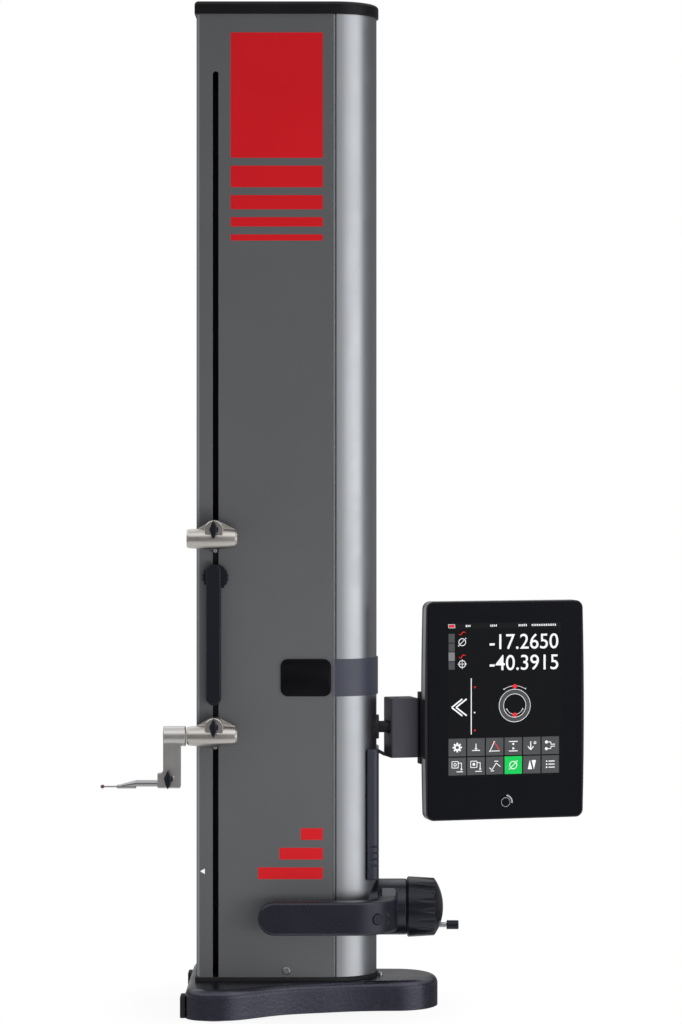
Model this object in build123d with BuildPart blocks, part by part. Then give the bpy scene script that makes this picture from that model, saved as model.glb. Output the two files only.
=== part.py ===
"""Column height gauge on an air-cushion base, with a hand crank and a swivelling display.

Millimetres, +Z up. The origin is on the surface that the lapped pads stand on, under the centre of
the column's section. The probe points to -X, the crank and the display are at +X, and the slotted
front plate faces -Y.
"""
from build123d import *
from math import cos, radians, sin, sqrt, tan
import os

os.makedirs("parts", exist_ok=True)

# Clearances
run_gap = 0.05  # radial, between a shaft and the bore it turns or slides in
seat_gap = 0.1  # between curved faces that are bolted together
part_gap = 0.4  # between pieces that move past each other

# Levels
relief_z = 1.5  # underside of the casting, above the surface plate
base_top = 32.0
gasket_t = 4.0
foot_z = base_top + gasket_t
column_h = 983.0
column_top = foot_z + column_h
cap_t = 13.0

# Column section
col_left = -92.0
lobe_x = 49.0  # centre of the round rear end
lobe_r = 43.0
col_wall = 5.0
corner_r = 3.0
plate_t = 3.0
plate_right = 47.3
plate_front = -lobe_r
plate_back = plate_front + plate_t
flange_back = plate_back + col_wall
cavity_left = col_left + col_wall
cavity_back = lobe_r - col_wall
flange_left = 35.0

# Slot in the front plate
slot_x = -72.4
slot_w = 6.0
slot_top = column_top - 58.4

# Carriage and clamps
low_clamp_z = 284.0
clamp_pitch = 200.0
clamp_zs = (low_clamp_z, low_clamp_z + clamp_pitch)
blade_w = slot_w - 2 * part_gap
blade_drop = 15.0

# Base plan
base_front = -101.5
base_half = 101.0
base_corner_r = 22.0
rear_lobe_x = lobe_x + 63.0
rear_lobe_r = 43.0
top_edge_r = 8.0
pad_r = 20.0
pad_recess = 3.0
pad_spots = ((-72.0, -76.0), (-72.0, 76.0), (rear_lobe_x, 0.0))

# Belt drive
crank_z = 102.0
idler_z = column_top - 29.0
pulley_x = -33.0
belt_inner_r = 14.0
belt_t = 2.0
belt_w = 10.0
belt_mid_r = belt_inner_r + belt_t / 2
shaft_r = 4.0
housing_r = 28.75
bracket_x = (-25.5, -20.5)


def front(y):
    """Plane facing the viewer at depth y, drawn in X and Z."""
    return Plane.XZ.offset(-y)


def side(x):
    """Plane facing +X at x, drawn in Y and Z."""
    return Plane.YZ.offset(x)


def column_outline(grow):
    """Section of the column, square towards the probe and round at the rear."""
    with BuildSketch() as outline:
        with Locations(((col_left - grow + lobe_x) / 2, 0)):
            Rectangle(lobe_x - col_left + grow, 2 * (lobe_r + grow))
        fillet(outline.vertices().group_by(Axis.X)[0], corner_r)
        with Locations((lobe_x, 0)):
            Circle(lobe_r + grow)
    return outline.sketch


# Base casting, a front bar and a rear lobe joined by hollow-curved sides
with BuildPart() as base_casting:
    with BuildSketch(Plane.XY.offset(relief_z)):
        with BuildLine():
            bar_side = Line((base_front, 0), (base_front, base_half - base_corner_r))
            bar_corner = TangentArc(
                bar_side @ 1, (base_front + base_corner_r, base_half), tangent=bar_side % 1
            )
            bar_end = Line(bar_corner @ 1, (-66, base_half))
            hollow = Spline(
                bar_end @ 1,
                (-38, 91),
                (-5, 68.5),
                (40, 54),
                (rear_lobe_x - 17, rear_lobe_r + 0.5),
                tangents=(bar_end % 1, (1, -0.08)),
            )
            lobe_start = (rear_lobe_x, rear_lobe_r)
            Line(hollow @ 1, lobe_start)
            RadiusArc(lobe_start, (rear_lobe_x + rear_lobe_r, 0), rear_lobe_r)
            mirror(about=Plane.XZ)
        make_face()
    extrude(amount=base_top - relief_z)
    fillet(base_casting.faces().sort_by(Axis.Z)[-1].edges(), top_edge_r)
    with BuildSketch(Plane.XY.offset(relief_z)):
        with Locations(*pad_spots):
            Circle(pad_r + seat_gap)
    extrude(amount=pad_recess, mode=Mode.SUBTRACT)
base_casting.part.label = "base_casting"
export_step(base_casting.part, "parts/base_casting.step")

# Three lapped air pads let into the underside, each with its air outlet
air_hole_r = 2.5
with BuildPart() as base_pads:
    with BuildSketch(Plane.XY):
        with Locations(*pad_spots):
            Circle(pad_r)
            Circle(air_hole_r, mode=Mode.SUBTRACT)
    extrude(amount=relief_z + pad_recess)
    chamfer(base_pads.faces().group_by(Axis.Z)[0].edges().group_by(SortBy.RADIUS)[-1], 0.4)
base_pads.part.label = "base_pads"
export_step(base_pads.part, "parts/base_pads.step")

# Rubber bumpers on the front of the base
bumper_t = 5.0
bumper_w = 22.0
bumper_h = 22.5
with BuildPart() as base_bumpers:
    with BuildSketch(side(base_front)):
        with Locations((-74, 1 + bumper_h / 2), (74, 1 + bumper_h / 2)):
            RectangleRounded(bumper_w, bumper_h, 3)
    extrude(amount=-bumper_t)
    fillet(base_bumpers.faces().group_by(Axis.X)[0].edges(), 1.2)
base_bumpers.part.label = "base_bumpers"
export_step(base_bumpers.part, "parts/base_bumpers.step")

# Sealing gasket between the base and the column
with BuildPart() as foot_gasket:
    with BuildSketch(Plane.XY.offset(base_top)):
        add(column_outline(1.5))
    extrude(amount=gasket_t)
    fillet(foot_gasket.faces().sort_by(Axis.Z)[-1].edges(), 1)
foot_gasket.part.label = "foot_gasket"
export_step(foot_gasket.part, "parts/foot_gasket.step")

# Column, an open-fronted extrusion with a flange that the plate lies on
plate_edge_gap = 0.4
groove_x = 50.2
groove_w = 1.3
groove_depth = 1.0
shaft_hole_r = 6.0
display_z = 288.0
tilt_hole_r = 6.5
with BuildPart() as column_profile:
    with BuildSketch(Plane.XY.offset(foot_z)):
        add(column_outline(0))
        add(column_outline(-col_wall), mode=Mode.SUBTRACT)
        with Locations(((cavity_left + flange_left) / 2, plate_front)):
            Rectangle(flange_left - cavity_left, 4 * col_wall, mode=Mode.SUBTRACT)
        with Locations(((flange_left + lobe_x) / 2, plate_back + col_wall / 2)):
            Rectangle(lobe_x - flange_left, col_wall)
        recess_right = plate_right + plate_edge_gap
        with Locations(((col_left - 1 + recess_right) / 2, plate_front)):
            Rectangle(recess_right - col_left + 1, 2 * plate_t, mode=Mode.SUBTRACT)
        with Locations((groove_x, plate_front)):
            Rectangle(groove_w, 2 * groove_depth, mode=Mode.SUBTRACT)
    extrude(amount=column_h)
    for hole_z, hole_r in ((crank_z, shaft_hole_r), (display_z, tilt_hole_r)):
        with BuildSketch(side(lobe_x)):
            with Locations((0, hole_z)):
                Circle(hole_r)
        extrude(amount=lobe_r + 1, mode=Mode.SUBTRACT)
column_profile.part.label = "column_profile"
export_step(column_profile.part, "parts/column_profile.step")

# Front plate with the long slot that the clamps run in
screw_shank_r = 2.0
foot_screw_z = 42.6
with BuildPart() as front_plate:
    with BuildSketch(front(plate_back)):
        with Locations(((col_left + plate_right) / 2, foot_z + column_h / 2)):
            Rectangle(plate_right - col_left, column_h)
    extrude(amount=plate_t)
    outer_edges = front_plate.edges().filter_by(Axis.Z).group_by(Axis.Y)[0]
    fillet(outer_edges.sort_by(Axis.X)[0], corner_r - 0.5)
    chamfer(outer_edges.sort_by(Axis.X)[-1], 0.5)
    with BuildSketch(front(plate_back)):
        straight_top = slot_top - slot_w / 2
        with Locations((slot_x, (foot_z + straight_top) / 2)):
            Rectangle(slot_w, straight_top - foot_z)
        with Locations((slot_x, straight_top)):
            Circle(slot_w / 2)
        with Locations((0, foot_screw_z)):
            Circle(screw_shank_r + seat_gap)
    extrude(amount=plate_t, mode=Mode.SUBTRACT)
front_plate.part.label = "front_plate"
export_step(front_plate.part, "parts/front_plate.step")

# Foot block that the bottom of the plate is screwed to
foot_block_x = -12.0
foot_block_w = 56.0
foot_block_h = 16.0
foot_block_t = 14.0
with BuildPart() as foot_block:
    with BuildSketch(front(plate_back + foot_block_t)):
        with Locations((foot_block_x, foot_z + foot_block_h / 2)):
            Rectangle(foot_block_w, foot_block_h)
        with Locations((0, foot_screw_z)):
            Circle(screw_shank_r + seat_gap, mode=Mode.SUBTRACT)
    extrude(amount=foot_block_t)
foot_block.part.label = "foot_block"
export_step(foot_block.part, "parts/foot_block.step")

# Plate screw with a domed socket head
screw_head_r = 4.0
with BuildPart() as plate_screw:
    with BuildSketch(front(plate_front)):
        with Locations((0, foot_screw_z)):
            Circle(screw_head_r)
    extrude(amount=2)
    fillet(plate_screw.faces().sort_by(Axis.Y)[0].edges(), 1.2)
    with BuildSketch(front(plate_front)):
        with Locations((0, foot_screw_z)):
            Circle(screw_shank_r)
    extrude(amount=-10)
    with BuildSketch(front(plate_front - 2)):
        with Locations((0, foot_screw_z)):
            RegularPolygon(1.6, 6)
    extrude(amount=-1.2, mode=Mode.SUBTRACT)
plate_screw.part.label = "plate_screw"
export_step(plate_screw.part, "parts/plate_screw.step")

# Top cap with a plug that centres it in the column
cap_overhang = 2.0
plug_depth = 8.0
with BuildPart() as top_cap:
    with BuildSketch(Plane.XY.offset(column_top)):
        add(column_outline(cap_overhang))
    extrude(amount=cap_t)
    fillet(top_cap.faces().sort_by(Axis.Z)[-1].edges(), 4)
    with BuildSketch(Plane.XY.offset(column_top)):
        add(column_outline(-col_wall - part_gap))
        with Locations(((flange_left + lobe_x) / 2, plate_front)):
            notch_w = lobe_x - flange_left + 2 * part_gap
            Rectangle(notch_w, 2 * (flange_back + part_gap - plate_front), mode=Mode.SUBTRACT)
    extrude(amount=-plug_depth)
top_cap.part.label = "top_cap"
export_step(top_cap.part, "parts/top_cap.step")

# Name band, a thin strip bent round the rear of the column
badge_z = 341.5
badge_h = 38.0
band_t = 1.5
with BuildPart() as badge_band:
    with BuildSketch(Plane.XY.offset(badge_z - badge_h / 2)):
        with Locations((lobe_x, 0)):
            Circle(lobe_r + band_t)
            Circle(lobe_r + seat_gap, mode=Mode.SUBTRACT)
        with Locations((lobe_x - lobe_r, 0)):
            Rectangle(2 * lobe_r, 3 * lobe_r, mode=Mode.SUBTRACT)
    extrude(amount=badge_h)
badge_band.part.label = "badge_band"
export_step(badge_band.part, "parts/badge_band.step")

# Rounded badge on the front plate, in line with the band
badge_left = -6.0
badge_right = lobe_x - 1
with BuildPart() as badge_plate:
    with BuildSketch(front(plate_front)):
        with Locations(((badge_left + badge_right) / 2, badge_z)):
            RectangleRounded(badge_right - badge_left, badge_h, 3)
    extrude(amount=2)
    fillet(badge_plate.faces().sort_by(Axis.Y)[0].edges(), 0.8)
badge_plate.part.label = "badge_plate"
export_step(badge_plate.part, "parts/badge_plate.step")

# Rear cover over the column's cable outlet, with four vent slots in each side
cover_left = lobe_x + lobe_r - 9.5
cover_right = lobe_x + lobe_r + 2.3
cover_half = 30.0
cover_z = (133.0, 267.0)
vent_zs = (148, 154.5, 161, 167.5)
vent_x = cover_right - 5.5
with BuildPart() as rear_cover:
    with BuildSketch(Plane.XY.offset(cover_z[0])):
        with Locations(((cover_left + cover_right) / 2, 0)):
            Rectangle(cover_right - cover_left, 2 * cover_half)
    extrude(amount=cover_z[1] - cover_z[0])
    fillet(rear_cover.edges().filter_by(Axis.Z).group_by(Axis.X)[-1], 6)
    fillet(rear_cover.faces().sort_by(Axis.X)[-1].edges().filter_by(Axis.Y), 1.2)
    with BuildSketch(Plane.XY.offset(cover_z[0])):
        with Locations((lobe_x, 0)):
            Circle(lobe_r + seat_gap)
    extrude(amount=cover_z[1] - cover_z[0], mode=Mode.SUBTRACT)
    with BuildSketch(side(lobe_x)):
        with Locations((0, crank_z)):
            Circle(housing_r + seat_gap)
    extrude(amount=lobe_r + 10, mode=Mode.SUBTRACT)
    with BuildSketch(front(-cover_half)):
        with Locations(*((vent_x, z) for z in vent_zs)):
            SlotOverall(7, 2.2)
    extrude(amount=-2.5, mode=Mode.SUBTRACT)
    with BuildSketch(front(cover_half)):
        with Locations(*((vent_x, z) for z in vent_zs)):
            SlotOverall(7, 2.2)
    extrude(amount=2.5, mode=Mode.SUBTRACT)
rear_cover.part.label = "rear_cover"
export_step(rear_cover.part, "parts/rear_cover.step")

# Round flange that carries the display's fixed shaft
display_shaft_r = 6.0
flange_face_x = lobe_x + lobe_r + 2.5
flange_r = 12.5
with BuildPart() as display_flange:
    with BuildSketch(side(lobe_x + lobe_r - 4)):
        with Locations((0, display_z)):
            Circle(flange_r)
            Circle(display_shaft_r + run_gap, mode=Mode.SUBTRACT)
    extrude(amount=flange_face_x - (lobe_x + lobe_r - 4))
    chamfer(display_flange.faces().sort_by(Axis.X)[-1].outer_wire().edges(), 0.6)
    with BuildSketch(Plane.XY.offset(display_z - 20)):
        with Locations((lobe_x, 0)):
            Circle(lobe_r + seat_gap)
    extrude(amount=40, mode=Mode.SUBTRACT)
display_flange.part.label = "display_flange"
export_step(display_flange.part, "parts/display_flange.step")

# Fixed display shaft, held by a collar inside the column and drilled for the swivel pin
swivel_x = lobe_x + lobe_r + 20.0
swivel_pin_r = 3.0
collar_x = (lobe_x + cavity_back - 6, lobe_x + cavity_back - 2)
with BuildPart() as display_shaft:
    with BuildSketch(side(collar_x[0])):
        with Locations((0, display_z)):
            Circle(display_shaft_r)
    extrude(amount=swivel_x + display_shaft_r - collar_x[0])
    with BuildSketch(side(collar_x[0])):
        with Locations((0, display_z)):
            Circle(10)
    extrude(amount=collar_x[1] - collar_x[0])
    chamfer(display_shaft.faces().sort_by(Axis.X)[-1].edges(), 1)
    with BuildSketch(Plane.XY.offset(display_z - 10)):
        with Locations((swivel_x, 0)):
            Circle(swivel_pin_r + run_gap)
    extrude(amount=20, mode=Mode.SUBTRACT)
display_shaft.part.label = "display_shaft"
export_step(display_shaft.part, "parts/display_shaft.step")

# Handle, a flat grip bar that bends back into the crank housing
grip_z = (crank_z - 18, crank_z + 16)
grip_h = grip_z[1] - grip_z[0]
grip_left = -28.0
grip_front = plate_front - 42
grip_t = 14.0
grip_edge_r = 3.5
bend_x = lobe_x + lobe_r - 22
bend_r = 43.0
arm_left = lobe_x + lobe_r + 2
arm_run = 8.0
housing_left = lobe_x + lobe_r - 16
housing_right = lobe_x + lobe_r + 30.6
bearing_r = 11.0
bearing_w = 7.0
bearing_xs = (housing_right - bearing_w - 1, arm_left + 4)
crank_plane = Plane(origin=(0, 0, crank_z), x_dir=(1, 0, 0), z_dir=(0, -1, 0))
crank_axis = Axis((0, 0, crank_z), (1, 0, 0))
button_angle = 32.0
button_r = 5.5
button_z = crank_z - 2
button_dir = (sin(radians(button_angle)), -cos(radians(button_angle)), 0)
bend_y = grip_front + bend_r
button_face = (bend_x + bend_r * button_dir[0], bend_y + bend_r * button_dir[1], button_z)
button_plane = Plane(origin=button_face, x_dir=(-button_dir[1], button_dir[0], 0), z_dir=button_dir)
button_depth = 3.0
with BuildPart() as handle_casting:
    with BuildSketch(Plane.XY.offset(grip_z[0])):
        with BuildLine():
            front_edge = Line((grip_left, grip_front), (bend_x, grip_front))
            outer_bend = RadiusArc(front_edge @ 1, (bend_x + bend_r, bend_y), -bend_r)
            arm_right = Line(outer_bend @ 1, (bend_x + bend_r, bend_y + arm_run))
            arm_end = Line(arm_right @ 1, (arm_left, bend_y + arm_run))
            arm_side = Line(arm_end @ 1, (arm_left, bend_y))
            inner_r = bend_r - grip_t
            inner_bend = RadiusArc(arm_side @ 1, (arm_left - inner_r, grip_front + grip_t), inner_r)
            back_edge = Line(inner_bend @ 1, (grip_left, grip_front + grip_t))
            Line(back_edge @ 1, front_edge @ 0)
        make_face()
    extrude(amount=grip_h)
    with BuildSketch(front(grip_front - 1)):
        with Locations(((grip_left + 2 * bend_x) / 2 + 20, (grip_z[0] + grip_z[1]) / 2)):
            SlotOverall(2 * bend_x - grip_left + 40, grip_h)
    extrude(amount=-80, mode=Mode.INTERSECT)
    grip_faces = handle_casting.faces().sort_by(Axis.Y)
    fillet(grip_faces[0].edges().group_by(Axis.X)[:-1], grip_edge_r)
    with BuildSketch(front(bend_y + arm_run)):
        with Locations(((arm_left + bend_x + bend_r) / 2, (grip_z[0] + grip_z[1]) / 2)):
            RectangleRounded(bend_x + bend_r - arm_left, grip_h, 4)
    with BuildSketch(front(-8)):
        with Locations(((arm_left + bend_x + bend_r) / 2, crank_z)):
            RectangleRounded(bend_x + bend_r - arm_left + 4, 2 * housing_r - 6, 6)
    loft()
    with BuildSketch(crank_plane):
        with Locations(((housing_left + housing_right) / 2, housing_r / 2)):
            Rectangle(housing_right - housing_left, housing_r)
    revolve(axis=crank_axis)
    chamfer(handle_casting.faces().sort_by(Axis.X)[-1].edges(), 0.8)
    with BuildSketch(Plane.XY.offset(crank_z - 40)):
        with Locations((lobe_x, 0)):
            Circle(lobe_r + seat_gap)
    extrude(amount=80, mode=Mode.SUBTRACT)
    with BuildSketch(side(housing_right)):
        with Locations((0, crank_z)):
            Circle(bearing_r + run_gap)
    extrude(amount=bearing_xs[1] - housing_right, mode=Mode.SUBTRACT)
    with BuildSketch(side(bearing_xs[1])):
        with Locations((0, crank_z)):
            Circle(shaft_r + 2)
    extrude(amount=-30, mode=Mode.SUBTRACT)
    with BuildSketch(button_plane):
        Circle(button_r + part_gap)
    extrude(amount=-button_depth - 1.6, mode=Mode.SUBTRACT)
handle_casting.part.label = "handle_casting"
export_step(handle_casting.part, "parts/handle_casting.step")

# Two ball bearings for the crank shaft
with BuildPart() as crank_bearings:
    for x in bearing_xs:
        with BuildSketch(side(x)):
            with Locations((0, crank_z)):
                Circle(bearing_r)
                Circle(shaft_r + run_gap, mode=Mode.SUBTRACT)
        extrude(amount=bearing_w)
crank_bearings.part.label = "crank_bearings"
export_step(crank_bearings.part, "parts/crank_bearings.step")

# Flat belt, a closed loop with the carriage on its front run and the weight on its rear run
belt_h = idler_z - crank_z
with BuildPart() as drive_belt:
    with BuildSketch(side(pulley_x - belt_w / 2)):
        with Locations((0, (crank_z + idler_z) / 2)):
            SlotCenterToCenter(belt_h, 2 * (belt_inner_r + belt_t), rotation=90)
            SlotCenterToCenter(belt_h, 2 * belt_inner_r, rotation=90, mode=Mode.SUBTRACT)
    extrude(amount=belt_w)
drive_belt.part.label = "drive_belt"
export_step(drive_belt.part, "parts/drive_belt.step")

# Two pulley brackets on the column's back wall, the lower one also steadies the crank shaft
idler_axle_r = 3.0
bracket_h = 30.0
bracket_front = 8.0
bracket_foot = (4.0, 15.0)
with BuildPart() as pulley_brackets:
    for bore_z, bore_r in ((crank_z, shaft_r), (idler_z, idler_axle_r)):
        with BuildSketch(side(bracket_x[0])):
            with Locations(((cavity_back - bracket_front) / 2, bore_z)):
                Rectangle(cavity_back + bracket_front, bracket_h)
            with Locations((0, bore_z)):
                Circle(bore_r + run_gap, mode=Mode.SUBTRACT)
        extrude(amount=bracket_x[1] - bracket_x[0])
        with BuildSketch(side(bracket_x[1])):
            with Locations((cavity_back - bracket_foot[0] / 2, bore_z)):
                Rectangle(bracket_foot[0], bracket_h)
        extrude(amount=bracket_foot[1])
pulley_brackets.part.label = "pulley_brackets"
export_step(pulley_brackets.part, "parts/pulley_brackets.step")

# Idler axle with a head that keeps the pulley on
flange_t = 1.2
belt_side_gap = 0.5
axle_head_r = 5.0
axle_head_t = 1.5
pulley_half = belt_w / 2 + belt_side_gap + flange_t
with BuildPart() as idler_axle:
    with BuildSketch(side(pulley_x - pulley_half - part_gap)):
        with Locations((0, idler_z)):
            Circle(idler_axle_r)
    extrude(amount=bracket_x[1] - pulley_x + pulley_half + part_gap)
    with BuildSketch(side(pulley_x - pulley_half - part_gap)):
        with Locations((0, idler_z)):
            Circle(axle_head_r)
    extrude(amount=-axle_head_t)
idler_axle.part.label = "idler_axle"
export_step(idler_axle.part, "parts/idler_axle.step")


pulley_lip = 3.0


def belt_pulley(z, bore_r):
    """Pulley with two flanges, on the belt's line at height z."""
    with BuildPart() as pulley:
        for x, r, width in (
            (pulley_x - pulley_half, belt_inner_r + pulley_lip, flange_t),
            (pulley_x - pulley_half + flange_t, belt_inner_r - part_gap, belt_w + 2 * belt_side_gap),
            (pulley_x + pulley_half - flange_t, belt_inner_r + pulley_lip, flange_t),
        ):
            with BuildSketch(side(x)):
                with Locations((0, z)):
                    Circle(r)
            extrude(amount=width)
        with BuildSketch(side(pulley_x - pulley_half)):
            with Locations((0, z)):
                Circle(bore_r + run_gap)
        extrude(amount=2 * pulley_half, mode=Mode.SUBTRACT)
    return pulley.part


drive_pulley = belt_pulley(crank_z, shaft_r)
drive_pulley.label = "drive_pulley"
export_step(drive_pulley, "parts/drive_pulley.step")

idler_pulley = belt_pulley(idler_z, idler_axle_r)
idler_pulley.label = "idler_pulley"
export_step(idler_pulley, "parts/idler_pulley.step")

# Profile rail on the column's back wall, with a ball groove in each side
rail_x = -62.5
rail_w = 15.0
rail_h = 15.0
rail_z = (foot_z + 2, column_top - plug_depth - 2)
with BuildPart() as guide_rail:
    with BuildSketch(Plane.XY.offset(rail_z[0])):
        with Locations((rail_x, cavity_back - rail_h / 2)):
            Rectangle(rail_w, rail_h)
        with Locations(*((rail_x + s * rail_w / 2, cavity_back - rail_h + 4) for s in (-1, 1))):
            Circle(1.6, mode=Mode.SUBTRACT)
    extrude(amount=rail_z[1] - rail_z[0])
guide_rail.part.label = "guide_rail"
export_step(guide_rail.part, "parts/guide_rail.step")

# Glass scale in its carrier on the column's left wall
scale_y = (-22.0, -2.0)
scale_t = 2.6
with BuildPart() as glass_scale:
    with BuildSketch(Plane.XY.offset(rail_z[0] + 4)):
        with Locations((cavity_left + scale_t / 2, sum(scale_y) / 2)):
            Rectangle(scale_t, scale_y[1] - scale_y[0])
    extrude(amount=rail_z[1] - rail_z[0] - 8)
    chamfer(glass_scale.edges().filter_by(Axis.Z).group_by(Axis.X)[-1], 0.8)
glass_scale.part.label = "glass_scale"
export_step(glass_scale.part, "parts/glass_scale.step")

# Guide rod that keeps the counterweight from turning
rod_spot = (8.0, 12.0)
rod_r = 4.0
with BuildPart() as guide_rod:
    with BuildSketch(Plane.XY.offset(foot_z)):
        with Locations(rod_spot):
            Circle(rod_r)
    extrude(amount=column_h - plug_depth)
guide_rod.part.label = "guide_rod"
export_step(guide_rod.part, "parts/guide_rod.step")

# Battery pack against the rear wall, behind the rear cover
battery_half = 18.0
battery_z = (125.0, 255.0)
battery_corner_r = 3.0
battery_reach = cavity_back - part_gap - battery_corner_r
battery_right = lobe_x + sqrt(battery_reach**2 - (battery_half - battery_corner_r) ** 2)
battery_right += battery_corner_r
with BuildPart() as battery_pack:
    with BuildSketch(Plane.XY.offset(battery_z[0])):
        with Locations((battery_right - 16, 0)):
            RectangleRounded(32, 2 * battery_half, battery_corner_r)
    extrude(amount=battery_z[1] - battery_z[0])
battery_pack.part.label = "battery_pack"
export_step(battery_pack.part, "parts/battery_pack.step")

# Measuring board on two spacers behind the column's flange
board_y = flange_back + 7
board_t = 1.6
board_z = (130.0, 260.0)
board_x = (38.0, 70.0)
spacer_x = 42.0
spacer_r = 2.5
spacer_inset = 8.0
with BuildPart() as circuit_board:
    with BuildSketch(front(board_y)):
        with Locations((sum(board_x) / 2, sum(board_z) / 2)):
            Rectangle(board_x[1] - board_x[0], board_z[1] - board_z[0])
    extrude(amount=board_t)
    with BuildSketch(front(board_y - board_t)):
        with Locations(*((spacer_x, z) for z in (board_z[0] + spacer_inset, board_z[1] - spacer_inset))):
            Circle(spacer_r)
    extrude(amount=board_y - board_t - flange_back)
circuit_board.part.label = "circuit_board"
export_step(circuit_board.part, "parts/circuit_board.step")

# Air pump that feeds the pads, on the column's foot
pump_x = 46.0
pump_l = 56.0
pump_w = 48.0
pump_h = 48.0
with BuildPart() as air_pump:
    with BuildSketch(Plane.XY.offset(foot_z)):
        with Locations((pump_x, 0)):
            RectangleRounded(pump_l, pump_w, 6)
    extrude(amount=pump_h)
    fillet(air_pump.faces().sort_by(Axis.Z)[-1].edges(), 2)
air_pump.part.label = "air_pump"
export_step(air_pump.part, "parts/air_pump.step")

# Carriage, a light H-section beam behind the slot
frame_z = (low_clamp_z - 12, clamp_zs[1] + 16)
frame_front = plate_back + 4
frame_w = 34.0
frame_t = 8.0
web_x = (-67.0, -59.0)
frame_back = cavity_back - 24
web_hole_r = 11.0
web_hole_zs = tuple(frame_z[0] + rise for rise in (28, 63, 148))
with BuildPart() as carriage_frame:
    with BuildSketch(Plane.XY.offset(frame_z[0])):
        with Locations((web_x[0], frame_front + frame_t / 2)):
            Rectangle(frame_w, frame_t)
        with Locations((sum(web_x) / 2, (frame_front + frame_back) / 2)):
            Rectangle(web_x[1] - web_x[0], frame_back - frame_front)
        with Locations((rail_x, frame_back - frame_t / 2)):
            Rectangle(frame_w - 1, frame_t)
    extrude(amount=frame_z[1] - frame_z[0])
    with BuildSketch(side(web_x[0])):
        with Locations(*(((frame_front + frame_back) / 2, z) for z in web_hole_zs)):
            Circle(web_hole_r)
    extrude(amount=web_x[1] - web_x[0], mode=Mode.SUBTRACT)
carriage_frame.part.label = "carriage_frame"
export_step(carriage_frame.part, "parts/carriage_frame.step")

# Two ball bearing blocks that run on the rail
block_h = 60.0
block_zs = (frame_z[0] + 18, frame_z[1] - 18 - block_h)
block_back = cavity_back - 3
with BuildPart() as bearing_blocks:
    for z in block_zs:
        with BuildSketch(Plane.XY.offset(z)):
            with Locations((rail_x, (frame_back + block_back) / 2)):
                Rectangle(frame_w, block_back - frame_back)
            channel_front = cavity_back - rail_h - part_gap
            with Locations((rail_x, (channel_front + block_back + 1) / 2)):
                Rectangle(rail_w + 2 * part_gap, block_back + 1 - channel_front, mode=Mode.SUBTRACT)
        extrude(amount=block_h)
bearing_blocks.part.label = "bearing_blocks"
export_step(bearing_blocks.part, "parts/bearing_blocks.step")


jaw_w = 13.0
jaw_h = 30.0
front_jaw_z = frame_z[1] - 60


def belt_jaws(y, z, arm_from):
    """Block that grips the belt's run at depth y, with an arm reaching to x = arm_from."""
    edge = pulley_x + (belt_w / 2 + 1) * (1 if arm_from > pulley_x else -1)
    far = pulley_x - (belt_w / 2 + 1) * (1 if arm_from > pulley_x else -1)
    with BuildSketch(Plane.XY.offset(z)) as jaws:
        with Locations(((far + arm_from) / 2, y)):
            Rectangle(abs(far - arm_from), jaw_w)
        with Locations(((far + edge) / 2, y)):
            Rectangle(abs(far - edge) + 0.01, belt_t + 2 * part_gap, mode=Mode.SUBTRACT)
    return extrude(jaws.sketch, amount=jaw_h)


belt_clamp = Part() + belt_jaws(-belt_mid_r, front_jaw_z, web_x[1])
belt_clamp.label = "belt_clamp"
export_step(belt_clamp, "parts/belt_clamp.step")

# Reading head beside the glass scale
head_gap = 0.5
head_z = (frame_z[0] + 98, frame_z[0] + 130)
with BuildPart() as reading_head:
    with BuildSketch(Plane.XY.offset(head_z[0])):
        head_left = cavity_left + scale_t + head_gap
        with Locations(((head_left + web_x[0]) / 2, sum(scale_y) / 2)):
            Rectangle(web_x[0] - head_left, scale_y[1] - scale_y[0] - 2)
    extrude(amount=head_z[1] - head_z[0])
    fillet(reading_head.edges().filter_by(Axis.Z).group_by(Axis.X)[0], 1)
reading_head.part.label = "reading_head"
export_step(reading_head.part, "parts/reading_head.step")

# Counterweight with its guide bore and its own belt jaws
weight_x = (-18.0, 17.0)
weight_y = (-8.0, 24.0)
weight_z = (598.0, 748.0)
weight_edge = 2.0
rear_jaw_z = weight_z[0] + 57
with BuildPart() as counterweight:
    with BuildSketch(Plane.XY.offset(weight_z[0])):
        with Locations((sum(weight_x) / 2, sum(weight_y) / 2)):
            Rectangle(weight_x[1] - weight_x[0], weight_y[1] - weight_y[0])
        with Locations(rod_spot):
            Circle(rod_r + run_gap, mode=Mode.SUBTRACT)
    extrude(amount=weight_z[1] - weight_z[0])
    chamfer(counterweight.faces().sort_by(Axis.Z)[-1].outer_wire().edges(), weight_edge)
    add(belt_jaws(belt_mid_r, rear_jaw_z, weight_x[0]))
counterweight.part.label = "counterweight"
export_step(counterweight.part, "parts/counterweight.step")

# Clamps, each a barrel with a probe bore and a boss for its screw, on a triangular saddle
clamp_y = plate_front - 23
clamp_mid_x = -74.4
clamp_half = 26.0
probe_bore_r = 4.0
probe_bore_depth = 42.0
boss_rise = 9.4
boss_r = 9.4
boss_x = -72.7
boss_front = clamp_y - 9.5
barrel_r = 10.5
knob_y = clamp_y - barrel_r - part_gap
boss_recess = 1.5
screw_bore_r = 3.5
saddle_y = (clamp_y + 9.5, plate_front - 10)
knob_half = 9.35
knob_belly = 3.1
knob_t = 11.5
clamp_names = ("lower", "upper")


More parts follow.
